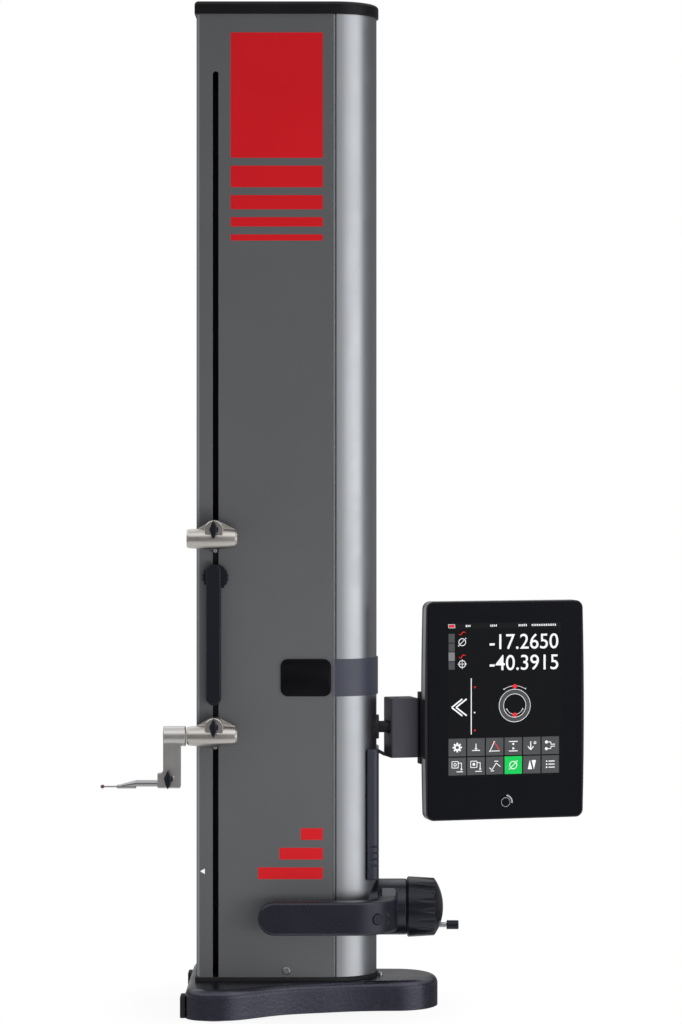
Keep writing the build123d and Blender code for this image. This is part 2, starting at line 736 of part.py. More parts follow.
def lens_knob(x, z, base_y, stem_r, stem_depth, hub_r, hub_t):
    """Blade knob, lens-shaped from the front, with a hub and a stem behind it."""
    with BuildPart() as knob:
        with BuildSketch(front(base_y)):
            with BuildLine():
                top, bottom = (x, z + knob_half), (x, z - knob_half)
                ThreePointArc(top, (x + knob_belly, z), bottom)
                ThreePointArc(bottom, (x - knob_belly, z), top)
            make_face()
        extrude(amount=knob_t)
        fillet(knob.faces().sort_by(Axis.Y)[0].edges(), 0.8)
        with BuildSketch(front(base_y)):
            with Locations((x, z)):
                Circle(hub_r)
        extrude(amount=-hub_t)
        with BuildSketch(front(base_y)):
            with Locations((x, z)):
                Circle(stem_r)
        extrude(amount=-stem_depth)
    return knob.part


for where, z in zip(clamp_names, clamp_zs):
    axis = Axis((clamp_mid_x, clamp_y, z), (1, 0, 0))
    with BuildPart() as clamp:
        with BuildSketch(Plane(origin=(clamp_mid_x, clamp_y, z), x_dir=(1, 0, 0), z_dir=(0, -1, 0))):
            with BuildLine():
                left_end = Polyline((-clamp_half, 0), (-clamp_half, 8.4), (-clamp_half + 1.8, 9.5))
                belly = ThreePointArc(left_end @ 1, (0, barrel_r), (clamp_half - 3, 9.1))
                right_end = Polyline(belly @ 1, (clamp_half - 0.8, 7.4), (clamp_half, 4.5), (clamp_half, 0))
                Line(right_end @ 1, left_end @ 0)
            make_face()
        revolve(axis=axis)
        with BuildSketch(front(saddle_y[0])):
            with Locations((boss_x, z + boss_rise)):
                Circle(boss_r)
            with Locations((boss_x, z + boss_rise / 2)):
                Rectangle(2 * boss_r, boss_rise)
        extrude(amount=saddle_y[0] - boss_front)
        boss_rim = clamp.edges().filter_by(GeomType.CIRCLE).sort_by(Axis.Z)[-2:]
        chamfer(boss_rim.sort_by(Axis.Y)[0], 0.8)
        with BuildSketch(front(saddle_y[1])):
            with BuildLine():
                Polyline(
                    (boss_x - 19, z - 7),
                    (boss_x - 19, z + 9),
                    (boss_x - 3, z + boss_rise + boss_r - 0.5),
                    (boss_x + 3, z + boss_rise + boss_r - 0.5),
                    (boss_x + 21, z + 9),
                    (boss_x + 21, z - 7),
                    close=True,
                )
            make_face()
        extrude(amount=saddle_y[1] - saddle_y[0] + 0.5)
        with BuildSketch(front(boss_front)):
            with Locations((boss_x, z + boss_rise)):
                Circle(boss_r - 1.2)
        extrude(amount=-boss_recess, mode=Mode.SUBTRACT)
        with BuildSketch(front(boss_front)):
            with Locations((boss_x, z + boss_rise)):
                Circle(screw_bore_r + run_gap)
        extrude(amount=-14, mode=Mode.SUBTRACT)
        with BuildSketch(side(clamp_mid_x - clamp_half)):
            with Locations((clamp_y, z)):
                Circle(probe_bore_r)
        extrude(amount=probe_bore_depth, mode=Mode.SUBTRACT)
    clamp.part.label = f"{where}_clamp"
    export_step(clamp.part, f"parts/{where}_clamp.step")

    clamp_knob = lens_knob(boss_x, z + boss_rise, knob_y, screw_bore_r, 12, 4.5, 1.6)
    clamp_knob.label = f"{where}_clamp_knob"
    export_step(clamp_knob, f"parts/{where}_clamp_knob.step")

# Blades that carry the clamps through the slot
with BuildPart() as clamp_blades:
    for z in clamp_zs:
        with BuildSketch(front(saddle_y[1])):
            with Locations((slot_x, z - blade_drop / 2)):
                Rectangle(blade_w, blade_drop)
            with Locations((slot_x, z)):
                Circle(blade_w / 2)
        extrude(amount=saddle_y[1] - frame_front)
clamp_blades.part.label = "clamp_blades"
export_step(clamp_blades.part, "parts/clamp_blades.step")

# Small screws in the foot of each blade
blade_screw_r = 2.1
blade_screw_t = 1.2
with BuildPart() as blade_screws:
    for z in clamp_zs:
        with BuildSketch(front(saddle_y[1])):
            with Locations((slot_x, z - blade_drop + blade_w / 2)):
                Circle(blade_screw_r)
        extrude(amount=blade_screw_t)
    fillet(blade_screws.faces().group_by(Axis.Y)[0].edges(), 0.5)
blade_screws.part.label = "blade_screws"
export_step(blade_screws.part, "parts/blade_screws.step")

# Cover bar over the fine-setting mechanism, on two posts through the slot
bar_z = (low_clamp_z + 30, low_clamp_z + 174)
bar_w = 15.2
bar_y = (plate_front - 13, plate_front - 7)
wheel_z = low_clamp_z + 160
post_zs = (low_clamp_z + 46, wheel_z)
post_r = 2.5
with BuildPart() as cover_bar:
    with BuildSketch(front(bar_y[1])):
        with Locations((slot_x - 1.5, sum(bar_z) / 2)):
            SlotOverall(bar_z[1] - bar_z[0], bar_w, rotation=90)
    extrude(amount=bar_y[1] - bar_y[0])
    fillet(cover_bar.faces().sort_by(Axis.Y)[0].edges(), 1.8)
cover_bar.part.label = "cover_bar"
export_step(cover_bar.part, "parts/cover_bar.step")

with BuildPart() as bar_posts:
    with BuildSketch(front(bar_y[1])):
        with Locations(*((slot_x, z) for z in post_zs)):
            Circle(post_r)
    extrude(amount=bar_y[1] - frame_front)
bar_posts.part.label = "bar_posts"
export_step(bar_posts.part, "parts/bar_posts.step")

# Scalloped fine-setting wheel behind the bar's upper end
wheel_r = 13.4
wheel_y = (plate_front - 6.5, plate_front - 1.5)
with BuildPart() as setting_wheel:
    with BuildSketch(front(wheel_y[1])):
        with Locations((slot_x, wheel_z)):
            Circle(wheel_r)
            Circle(post_r + run_gap, mode=Mode.SUBTRACT)
            with PolarLocations(wheel_r + 0.8, 18):
                Circle(1.8, mode=Mode.SUBTRACT)
    extrude(amount=wheel_y[1] - wheel_y[0])
setting_wheel.part.label = "setting_wheel"
export_step(setting_wheel.part, "parts/setting_wheel.step")

# Probe holder, a cylinder with a shank in the lower clamp and a bar that drops to the stylus
holder_x = (-124.1, -101.5)
holder_r = 10.2
holder_bar_right = -106.7
holder_bottom = low_clamp_z - 52.2
holder_y = (clamp_y + 6, clamp_y - 8)
foot_left = -129.8
foot_top = low_clamp_z - 37.6
shank_end = -66.0
stylus_y = clamp_y - 1
stylus_z = low_clamp_z - 47.7
sleeve_r = 3.35
sleeve_end = foot_left + 16
holder_knob_spot = (-118.6, low_clamp_z - 42.6)
with BuildPart() as probe_holder:
    with BuildSketch(side(holder_x[0])):
        with Locations((clamp_y, low_clamp_z)):
            Circle(holder_r)
    extrude(amount=holder_x[1] - holder_x[0])
    chamfer(probe_holder.edges().filter_by(GeomType.CIRCLE), 0.8)
    with BuildSketch(side(holder_x[1])):
        with Locations((clamp_y, low_clamp_z)):
            Circle(probe_bore_r - run_gap)
    extrude(amount=shank_end - holder_x[1])
    with BuildSketch(front(holder_y[0])):
        with BuildLine():
            bar_right = Polyline(
                (holder_x[0], low_clamp_z),
                (holder_bar_right, low_clamp_z),
                (holder_bar_right, holder_bottom),
                (foot_left, holder_bottom),
                (foot_left, foot_top),
            )
            flare = ThreePointArc(
                bar_right @ 1, (holder_x[0] - 0.9, foot_top + 1.6), (holder_x[0], foot_top + 4)
            )
            Line(flare @ 1, bar_right @ 0)
        make_face()
    extrude(amount=holder_y[0] - holder_y[1])
    chamfer(probe_holder.faces().sort_by(Axis.Z)[0].edges(), 1)
    with BuildSketch(side(foot_left)):
        with Locations((stylus_y, stylus_z)):
            Circle(sleeve_r + run_gap)
    extrude(amount=sleeve_end - foot_left + 0.5, mode=Mode.SUBTRACT)
    with BuildSketch(front(holder_y[1])):
        with Locations(holder_knob_spot):
            Circle(2.5 + run_gap)
    extrude(amount=-3, mode=Mode.SUBTRACT)
probe_holder.part.label = "probe_holder"
export_step(probe_holder.part, "parts/probe_holder.step")

holder_knob = lens_knob(*holder_knob_spot, holder_y[1] - 1, 2.5, 3.6, 4.5, 0.6)
holder_knob.label = "holder_knob"
export_step(holder_knob, "parts/holder_knob.step")

# Stylus, a sleeve that tapers off-centre to the thin stem with the ruby ball
stem_z = low_clamp_z - 51
tube_r = 2.0
stem_r = 0.85
ball_r = 2.0
ball_x = -185.9
taper_x = (-151.7, -171.3)
with BuildPart() as stylus_sleeve:
    with BuildSketch(side(taper_x[0])):
        with Locations((stylus_y, stylus_z)):
            Circle(sleeve_r)
    extrude(amount=sleeve_end - taper_x[0])
    with BuildSketch(side(taper_x[0])):
        with Locations((stylus_y, stylus_z)):
            Circle(sleeve_r)
    with BuildSketch(side(taper_x[1])):
        with Locations((stylus_y, stem_z)):
            Circle(1.3)
    loft()
    with BuildSketch(side(taper_x[1])):
        with Locations((stylus_y, stem_z)):
            Circle(tube_r)
    extrude(amount=taper_x[0] - taper_x[1])
    fillet(stylus_sleeve.edges().filter_by(GeomType.CIRCLE).sort_by(Axis.X)[0], 0.4)
stylus_sleeve.part.label = "stylus_sleeve"
export_step(stylus_sleeve.part, "parts/stylus_sleeve.step")

with BuildPart() as stylus_stem:
    with BuildSketch(side(taper_x[1])):
        with Locations((stylus_y, stem_z)):
            Circle(stem_r)
    extrude(amount=ball_x + ball_r + 0.02 - taper_x[1])
stylus_stem.part.label = "stylus_stem"
export_step(stylus_stem.part, "parts/stylus_stem.step")

with BuildPart() as ruby_ball:
    with Locations((ball_x, stylus_y, stem_z)):
        Sphere(ball_r)
ruby_ball.part.label = "ruby_ball"
export_step(ruby_ball.part, "parts/ruby_ball.step")

# Crank knob, fluted at the rim and domed at the end, with a crank pin beside its centre
knob_x = (housing_right + 0.8, housing_right + 29.7)
knob_r = 31.0
knob_end_r = 29.5
dome_x = knob_x[1] + 8.4
flute_count = 18
flute_r = 1.8
flute_taper = 7.5
flute_start = knob_x[0] + 5.6
pin_drop = 18.8
pin_r = 2.65
pin_grip_x = (dome_x + 3.6, dome_x + 16)
pin_grip_r = 4.65
pin_z = crank_z - pin_drop
shaft_x = (pulley_x - pulley_half - 1.5, knob_x[1] - 4.3)
with BuildPart() as crank_knob:
    with BuildSketch(crank_plane):
        with BuildLine():
            rim = Polyline(
                (knob_x[0], 0),
                (knob_x[0], knob_r - 1.5),
                (knob_x[0] + 1.5, knob_r),
                (knob_x[1] - 1, knob_end_r),
                (knob_x[1] + 0.5, knob_end_r - 2),
            )
            dome = ThreePointArc(rim @ 1, (knob_x[1] + 6.4, knob_end_r / 2), (dome_x, 0))
            Line(dome @ 1, rim @ 0)
        make_face()
    revolve(axis=crank_axis)
    with BuildSketch(side(flute_start)):
        with Locations((0, crank_z)):
            with PolarLocations(knob_r + flute_r, flute_count):
                Circle(flute_r)
    extrude(amount=knob_x[1] - flute_start + 1, taper=-flute_taper, mode=Mode.SUBTRACT)
    with BuildSketch(side(knob_x[0])):
        with Locations((0, crank_z)):
            Circle(shaft_r + run_gap)
    extrude(amount=shaft_x[1] - knob_x[0] + 0.5, mode=Mode.SUBTRACT)
    with BuildSketch(side(dome_x)):
        with Locations((0, pin_z)):
            Circle(pin_r + run_gap)
    extrude(amount=-12, mode=Mode.SUBTRACT)
crank_knob.part.label = "crank_knob"
export_step(crank_knob.part, "parts/crank_knob.step")

with BuildPart() as crank_shaft:
    with BuildSketch(side(shaft_x[0])):
        with Locations((0, crank_z)):
            Circle(shaft_r)
    extrude(amount=shaft_x[1] - shaft_x[0])
    chamfer(crank_shaft.edges().filter_by(GeomType.CIRCLE), 0.5)
crank_shaft.part.label = "crank_shaft"
export_step(crank_shaft.part, "parts/crank_shaft.step")

# Crank pin with a stepped end that keeps the spinning grip on
pin_core_r = 1.5
with BuildPart() as crank_pin:
    with BuildSketch(side(dome_x - 11)):
        with Locations((0, pin_z)):
            Circle(pin_r)
    extrude(amount=pin_grip_x[0] - part_gap - dome_x + 11)
    with BuildSketch(side(pin_grip_x[0] - part_gap)):
        with Locations((0, pin_z)):
            Circle(pin_core_r)
    extrude(amount=10.4)
crank_pin.part.label = "crank_pin"
export_step(crank_pin.part, "parts/crank_pin.step")

with BuildPart() as crank_grip:
    with BuildSketch(side(pin_grip_x[0])):
        with Locations((0, pin_z)):
            Circle(pin_grip_r)
    extrude(amount=pin_grip_x[1] - pin_grip_x[0])
    fillet(crank_grip.edges().filter_by(GeomType.CIRCLE), 0.8)
    with BuildSketch(side(pin_grip_x[0])):
        with Locations((0, pin_z)):
            Circle(pin_core_r + run_gap)
    extrude(amount=10.4, mode=Mode.SUBTRACT)
crank_grip.part.label = "crank_grip"
export_step(crank_grip.part, "parts/crank_grip.step")

# Air button in the bend of the handle
with BuildPart() as grip_button:
    with BuildSketch(button_plane):
        Circle(button_r)
    extrude(amount=-button_depth)
    with BuildSketch(button_plane):
        Circle(button_r)
    extrude(amount=0.6, taper=20)
grip_button.part.label = "grip_button"
export_step(grip_button.part, "parts/grip_button.step")

# Display mount, turned about the vertical swivel pin
display_yaw = 15.0
yaw_cos = cos(radians(display_yaw))
yaw_sin = sin(radians(display_yaw))


def face_plane(depth):
    """Plane facing the display's viewer, at a depth behind the swivel pin."""
    origin = (swivel_x - depth * yaw_sin, depth * yaw_cos, 0)
    return Plane(origin=origin, x_dir=(yaw_cos, yaw_sin, 0), z_dir=(yaw_sin, -yaw_cos, 0))


def plan_plane(z):
    """Level plane with its origin on the swivel pin and x along the display."""
    return Plane(origin=(swivel_x, 0, z), x_dir=(yaw_cos, yaw_sin, 0), z_dir=(0, 0, 1))


def end_plane(along):
    """Plane across the display, at a distance along it from the swivel pin."""
    origin = (swivel_x + along * yaw_cos, along * yaw_sin, 0)
    return Plane(origin=origin, x_dir=(-yaw_sin, yaw_cos, 0), z_dir=(yaw_cos, yaw_sin, 0))


# Hinge block on the fixed shaft, with a mouth that lets it swivel
block_x = (-8.9, 20.4)
block_y = (-15.0, 16.0)
block_z = (257.0, 318.0)
mouth_end = 9.0
swivel_range = (-25.0, 20.0)
tilt_pin_r = 4.0
tilt_pin_end = 62.0
pin_top = block_z[1] - 1.5
pin_bottom = block_z[0] + 5


def mouth_side(swivel):
    """How far from its middle the block's mouth reaches, for the shaft to clear it at that swivel."""
    turn = radians(abs(display_yaw + swivel))
    return -block_x[0] * tan(turn) + (display_shaft_r + part_gap) / cos(turn)


mouth_y = (-mouth_side(swivel_range[0]), mouth_side(swivel_range[1]))
with BuildPart() as hinge_block:
    with BuildSketch(plan_plane(block_z[0])):
        with Locations((sum(block_x) / 2, sum(block_y) / 2)):
            RectangleRounded(block_x[1] - block_x[0], block_y[1] - block_y[0], 2)
    extrude(amount=block_z[1] - block_z[0])
    fillet(hinge_block.faces().sort_by(Axis.Z)[-1].edges(), 1.2)
    with BuildSketch(plan_plane(display_z - display_shaft_r - part_gap)):
        with Locations(((block_x[0] - 2 + mouth_end) / 2, sum(mouth_y) / 2)):
            Rectangle(mouth_end - block_x[0] + 2, mouth_y[1] - mouth_y[0])
    extrude(amount=2 * (display_shaft_r + part_gap), mode=Mode.SUBTRACT)
    with BuildSketch(plan_plane(pin_bottom)):
        Circle(swivel_pin_r + run_gap)
    extrude(amount=block_z[1] - pin_bottom, mode=Mode.SUBTRACT)
    with BuildSketch(end_plane(mouth_end)):
        with Locations((0, display_z)):
            Circle(tilt_pin_r + run_gap)
    extrude(amount=block_x[1] - mouth_end, mode=Mode.SUBTRACT)
hinge_block.part.label = "hinge_block"
export_step(hinge_block.part, "parts/hinge_block.step")

with BuildPart() as swivel_pin:
    with BuildSketch(plan_plane(pin_bottom)):
        Circle(swivel_pin_r)
    extrude(amount=pin_top - pin_bottom)
swivel_pin.part.label = "swivel_pin"
export_step(swivel_pin.part, "parts/swivel_pin.step")

with BuildPart() as tilt_pin:
    with BuildSketch(end_plane(mouth_end + part_gap)):
        with Locations((0, display_z)):
            Circle(tilt_pin_r)
    extrude(amount=tilt_pin_end - mouth_end - part_gap)
tilt_pin.part.label = "tilt_pin"
export_step(tilt_pin.part, "parts/tilt_pin.step")

# Display, a thin shell with its glass, on a bracket that tilts about the pin
panel_left = 20.9
panel_w = 171.5
panel_h = 224.7
panel_bottom = 193.4
panel_mid_x = panel_left + panel_w / 2
panel_mid_z = panel_bottom + panel_h / 2
panel_corner_r = 8.0
panel_bulge = 1.5
glass_y = -38.0
glass_t = 1.5
shell_back = -17.0
glass_margin = 1.5
power_z = 210.9
power_r = 5.5
bracket_left = 21.0
tilt_barrel_r = 9.5
with BuildPart() as display_shell:
    with BuildSketch(face_plane(shell_back)) as shell_outline:
        with BuildLine():
            half_w = panel_w / 2
            half_h = panel_h / 2
            low_left = (panel_mid_x - half_w + panel_bulge, panel_mid_z - half_h)
            low_right = (panel_mid_x + half_w - panel_bulge, panel_mid_z - half_h)
            top_right = (panel_mid_x + half_w - panel_bulge, panel_mid_z + half_h)
            top_left = (panel_mid_x - half_w + panel_bulge, panel_mid_z + half_h)
            Line(low_left, low_right)
            ThreePointArc(low_right, (panel_mid_x + half_w, panel_mid_z), top_right)
            Line(top_right, top_left)
            ThreePointArc(top_left, (panel_mid_x - half_w, panel_mid_z), low_left)
        make_face()
        fillet(shell_outline.vertices(), panel_corner_r)
    extrude(amount=shell_back - glass_y - glass_t)
    back_edges = display_shell.faces().sort_by(Axis((0, 0, 0), (-yaw_sin, yaw_cos, 0)))[-1].edges()
    fillet(back_edges, 5)
    with BuildSketch(face_plane(glass_y + glass_t)):
        with Locations((panel_mid_x, power_z)):
            Circle(power_r + part_gap)
    extrude(amount=-5, mode=Mode.SUBTRACT)
display_shell.part.label = "display_shell"
export_step(display_shell.part, "parts/display_shell.step")

with BuildPart() as display_glass:
    with BuildSketch(face_plane(glass_y + glass_t)):
        with Locations((panel_mid_x, panel_mid_z)):
            glass_w = panel_w - 2 * (panel_bulge + glass_margin)
            RectangleRounded(glass_w, panel_h - 2 * glass_margin, panel_corner_r - glass_margin)
        with Locations((panel_mid_x, power_z)):
            Circle(power_r + part_gap, mode=Mode.SUBTRACT)
    extrude(amount=glass_t)
display_glass.part.label = "display_glass"
export_step(display_glass.part, "parts/display_glass.step")

with BuildPart() as power_button:
    with BuildSketch(face_plane(glass_y - 0.6)):
        with Locations((panel_mid_x, power_z)):
            Circle(power_r)
    extrude(amount=-4.5)
    fillet(power_button.edges().filter_by(GeomType.CIRCLE).sort_by(Axis.Y)[0], 0.4)
power_button.part.label = "power_button"
export_step(power_button.part, "parts/power_button.step")

# Bracket screwed to the back of the shell, its barrel turning on the tilt pin
bracket_z = (262.0, 314.0)
bracket_t = 5.0
bracket_right = 76.0
with BuildPart() as display_bracket:
    with BuildSketch(end_plane(bracket_left)):
        with Locations((0, display_z)):
            Circle(tilt_barrel_r)
        with Locations(((shell_back + bracket_t) / 2, display_z)):
            Rectangle(-shell_back - bracket_t, 2 * tilt_barrel_r)
    extrude(amount=tilt_pin_end - 1 - bracket_left)
    with BuildSketch(face_plane(shell_back + bracket_t)):
        with Locations(((bracket_left + 3 + bracket_right) / 2, sum(bracket_z) / 2)):
            RectangleRounded(bracket_right - bracket_left - 3, bracket_z[1] - bracket_z[0], 3)
    extrude(amount=bracket_t)
    with BuildSketch(end_plane(bracket_left)):
        with Locations((0, display_z)):
            Circle(tilt_pin_r + run_gap)
    extrude(amount=tilt_pin_end, mode=Mode.SUBTRACT)
display_bracket.part.label = "display_bracket"
export_step(display_bracket.part, "parts/display_bracket.step")

# Display cable, a short lead that drops a little from the rear cover to the hinge block
cable_r = 2.0
cable_y = -10.0
cable_z = (263.5, 260.5)
block_face_x = swivel_x + (block_x[0] + cable_y * yaw_sin) / yaw_cos
with BuildPart() as display_cable:
    for x, z in zip((cover_right, block_face_x), cable_z):
        with BuildSketch(side(x)):
            with Locations((cable_y, z)):
                Circle(cable_r)
    loft(ruled=True)
display_cable.part.label = "display_cable"
export_step(display_cable.part, "parts/display_cable.step")
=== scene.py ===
"""Finishes, printed panels, display screen and small fittings for the column height gauge.

Everything is in metres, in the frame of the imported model: +Z up, the probe towards -X, the slotted
front plate towards -Y, and the origin on the surface plate under the middle of the column.
"""

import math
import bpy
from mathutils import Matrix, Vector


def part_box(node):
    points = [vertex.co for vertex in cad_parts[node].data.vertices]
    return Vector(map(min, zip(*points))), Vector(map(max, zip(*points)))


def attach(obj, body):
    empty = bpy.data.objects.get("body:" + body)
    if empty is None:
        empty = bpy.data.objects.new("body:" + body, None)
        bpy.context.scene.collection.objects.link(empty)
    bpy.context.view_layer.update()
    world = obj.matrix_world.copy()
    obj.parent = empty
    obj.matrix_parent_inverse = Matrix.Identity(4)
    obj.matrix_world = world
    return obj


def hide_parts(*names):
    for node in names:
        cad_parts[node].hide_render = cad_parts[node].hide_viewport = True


bl_info = {
    "name": "Height Gauge",
    "version": (1, 0, 0),
    "blender": (4, 5, 0),
    "location": "View3D > Sidebar > Height Gauge",
    "description": "Dresses the packed height gauge with its finishes, screen and small fittings",
    "category": "Object",
}

import bmesh
import bpy
from bpy.props import FloatProperty, FloatVectorProperty, IntProperty, PointerProperty, StringProperty
from mathutils import Matrix, Vector

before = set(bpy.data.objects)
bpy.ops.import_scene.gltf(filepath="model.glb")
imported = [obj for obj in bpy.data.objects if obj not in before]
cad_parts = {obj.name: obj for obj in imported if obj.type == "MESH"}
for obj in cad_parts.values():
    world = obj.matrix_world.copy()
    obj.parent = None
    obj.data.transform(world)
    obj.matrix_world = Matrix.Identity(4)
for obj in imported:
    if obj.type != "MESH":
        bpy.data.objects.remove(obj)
bpy.context.view_layer.update()

MM = 0.001
ROUND_STEPS = 48
PRINT_THICKNESS = 0.06 * MM
BLUE_SHEEN = (0.80, 0.83, 1.0, 1.0)

# Places that several pieces share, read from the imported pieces
plate_low, plate_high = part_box("front_plate")
pin_low, pin_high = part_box("swivel_pin")
PLATE_FACE = plate_low.y
PLATE_MIDDLE = (plate_low.z + plate_high.z) / 2
PLATE_HEIGHT = plate_high.z - plate_low.z
DISPLAY_PIVOT = Vector(((pin_low.x + pin_high.x) / 2, 0, 0))

# The display's turn on that pin, then two places in its own frame
DISPLAY_YAW = math.radians(15)
GLASS_FACE = -38.0 * MM
SCREEN_MIDDLE = 104.8 * MM

# Layout of the screen, in millimetres: how much wider and taller it is drawn than it is written down,
# and the first soft button's distance from the left edge and above the bottom edge
STRETCH_ACROSS = 1.017
STRETCH_DOWN = 1.014
FIRST_BUTTON_RIGHT = 10.5
FIRST_BUTTON_UP = 29.5

# Column and row of the lit soft button, and the middle of the screen's dial
ACTIVE_BUTTON = (3, 1)
DIAL = (71.3, 84.5)

# Plain names for the shader's own sockets
SHADER_SOCKETS = {
    "metal": "Metallic", "gloss": "Specular IOR Level", "tint": "Specular Tint", "index": "IOR",
    "coat": "Coat Weight", "coat_roughness": "Coat Roughness",
}


def paint(red, green, blue):
    """Linear colour from the 0 to 255 values that a picture editor shows."""
    def linear(value):
        part = value / 255
        return part / 12.92 if part <= 0.04045 else ((part + 0.055) / 1.055) ** 2.4
    return (linear(red), linear(green), linear(blue))


def colour_setting(name, description, rgb):
    """Colour property with its default given in 0 to 255 values."""
    return FloatVectorProperty(
        name=name, description=description, subtype="COLOR", size=3, min=0, max=1, default=paint(*rgb)
    )


def length_setting(name, description, millimetres):
    """Length property with its default given in millimetres."""
    return FloatProperty(
        name=name, description=description, unit="LENGTH", subtype="DISTANCE", min=0,
        default=millimetres * MM, precision=4,
    )


def power_setting(name, description, watts):
    """Power property of one light."""
    return FloatProperty(name=name, description=description, unit="POWER", default=watts, min=0)


class StageSettings(bpy.types.PropertyGroup):
    """Camera, floor and lights."""

    camera_place: FloatVectorProperty(
        name="Camera place", description="Where the camera stands", subtype="TRANSLATION", size=3,
        default=(0.080, -3.343, 0.578),
    )
    lens: FloatProperty(
        name="Focal length", description="Focal length on a 36 mm sensor", unit="CAMERA",
        default=113.7,
    )
    shift: FloatVectorProperty(
        name="Lens shift", description="Sideways and upward shift of a view camera", size=2,
        default=(-0.0234, -0.0645),
    )
    floor_radius: length_setting("Floor radius", "Radius of the round floor", 6000)
    floor_colour: colour_setting("Floor", "Colour of the pale floor", (236, 236, 237))
    key_power: power_setting("Key light", "Power of the tall softbox at the front right", 22)
    fill_power: power_setting("Fill light", "Power of the softbox at the left", 5)
    top_power: power_setting("Top light", "Power of the overhead softbox", 4)
    low_power: power_setting("Low light", "Power of the low softbox in front", 6)
    room_level: FloatProperty(
        name="Room level", description="Strength of the even room light", default=0.33, min=0,
    )


class FinishSettings(bpy.types.PropertyGroup):
    """Colours of the finishes."""

    cast_enamel: colour_setting("Base enamel", "Hammered enamel on the base", (24, 24, 33))
    plate_paint: colour_setting("Plate paint", "Fine powder coat on the front plate", (78, 79, 81))
    anodised: colour_setting("Anodised column", "Satin anodised extrusion", (204, 207, 212))
    cap_plastic: colour_setting("Cap", "Moulded cap", (13, 13, 17))
    cover_paint: colour_setting("Rear cover", "Blue-grey cover low on the rear", (36, 38, 50))
    # The band's blue-grey is the cover's paint made lighter, painted light for the way the band faces the
    # lamps
    band_paint_painted_lighter: colour_setting("Band", "Blue-grey band round the rear", (52, 54, 67))
    handle_paint: colour_setting("Handle", "Fine textured coat on the handle", (17, 18, 25))
    knob_plastic: colour_setting("Knobs", "Moulded knobs", (15, 16, 21))
    nickel: colour_setting("Nickel", "Satin nickel on the clamps", (223, 218, 213))
    dark_nickel: colour_setting("Probe holder", "Satin nickel on the probe holder", (230, 227, 225))
    steel: colour_setting("Steel", "Ground steel", (196, 197, 200))
    glass: colour_setting("Display glass", "Black glass of the display", (6, 7, 13))
    bezel: colour_setting("Display shell", "Silver shell of the display", (192, 194, 198))
    hinge_paint: colour_setting("Hinge block", "Painted hinge block", (51, 49, 57))
    rubber: colour_setting("Rubber", "Bumpers, gasket, belt and lead", (22, 22, 24))
    ruby: colour_setting("Ruby", "Probe ball", (84, 8, 20))


class PanelSettings(bpy.types.PropertyGroup):
    """Coloured panels on the front plate."""

    red: colour_setting("Panel red", "Colour of the panels", (185, 18, 27))
    left: FloatProperty(
        name="Left edge", description="Left edge of the upper panel", unit="LENGTH", default=-0.057,
    )
    right: FloatProperty(
        name="Right edge", description="Right edge of both panels", unit="LENGTH", default=0.037,
    )
    upper_top: length_setting("Upper panel top", "Height of the upper panel's top edge", 1000)
    upper_block: length_setting("Upper block height", "Height of the plain block", 128)
    first_stripe: length_setting("First stripe", "Height of the stripe under the block", 22)
    stripe_gap: length_setting("Stripe gap", "Gap between stripes", 8)
    stripe_count: IntProperty(name="Stripes", description="Stripes under the block", default=4, min=1)
    stripe_ratio: FloatProperty(
        name="Stripe ratio", description="Height of each stripe as a share of the one above it",
        default=0.66, min=0.1, max=1,
    )
    lower_top: length_setting("Lower panel top", "Height of the lower panel's top edge", 188)
    lower_width: length_setting("Lower panel width", "Width of the lower panel's longest stripe", 66)
    lower_stripe: length_setting("Lower stripe", "Height of each stripe of the lower panel", 12)


class ScreenSettings(bpy.types.PropertyGroup):
    """Screen behind the display's glass."""

    width: length_setting("Screen width", "Width of the lit screen", 121.4)
    height: length_setting("Screen height", "Height of the lit screen", 157.1)
    middle_z: length_setting("Screen middle", "Height of the screen's middle", 317.4)
    bar_height: length_setting("Status bar", "Height of the status bar", 5.8)
    button_width: length_setting("Button width", "Width of one soft button", 18.69)
    button_height: length_setting("Button height", "Height of one soft button", 18.2)
    column_pitch: length_setting("Column pitch", "Spacing of the soft buttons across", 19.7535)
    row_pitch: length_setting("Row pitch", "Spacing of the soft buttons' two rows", 19.5)
    upper_reading: StringProperty(name="Upper reading", description="First number", default="-17.2650")
    lower_reading: StringProperty(name="Lower reading", description="Second number", default="-40.3915")
    reading_height: length_setting("Reading height", "Height of the digits", 15.7)


class FittingSettings(bpy.types.PropertyGroup):
    """Small screws, marks, badge and the crank's seal."""

    set_screw: length_setting("Set screw", "Head radius of the probe holder's set screw", 1.3)
    bracket_screw: length_setting("Bracket screws", "Head radius of the display bracket's screws", 3.0)
    foot_screw: length_setting("Foot screw", "Head radius of the clamping screw on the base", 2.2)
    mark_stroke: length_setting("Mark stroke", "Width of the marks on the handle", 1.1)
    badge_corner: length_setting("Badge corner", "Radius of the badge's corners", 7.5)
    seal_outer: length_setting("Seal outer radius", "Outer radius of the crank's seal", 28)
    seal_inner: length_setting("Seal inner radius", "Inner radius of the crank's seal", 9)


def node(tree, kind, inputs=None, **settings):
    """Adds a node with its settings, and sets each named input to a value or links it to a socket."""
    made = tree.nodes.new(kind)
    for key, value in settings.items():
        setattr(made, key, value)
    for key, value in (inputs or {}).items():
        if isinstance(value, bpy.types.NodeSocket):
            tree.links.new(value, made.inputs[key])
        else:
            made.inputs[key].default_value = value
    return made


def math_node(tree, operation, first, second=0.0):
    """Result socket of one Math node."""
    made = node(tree, "ShaderNodeMath", operation=operation)
    for socket, value in zip(made.inputs, (first, second)):
        if isinstance(value, bpy.types.NodeSocket):
            tree.links.new(value, socket)
        else:
            socket.default_value = value
    return made.outputs[0]


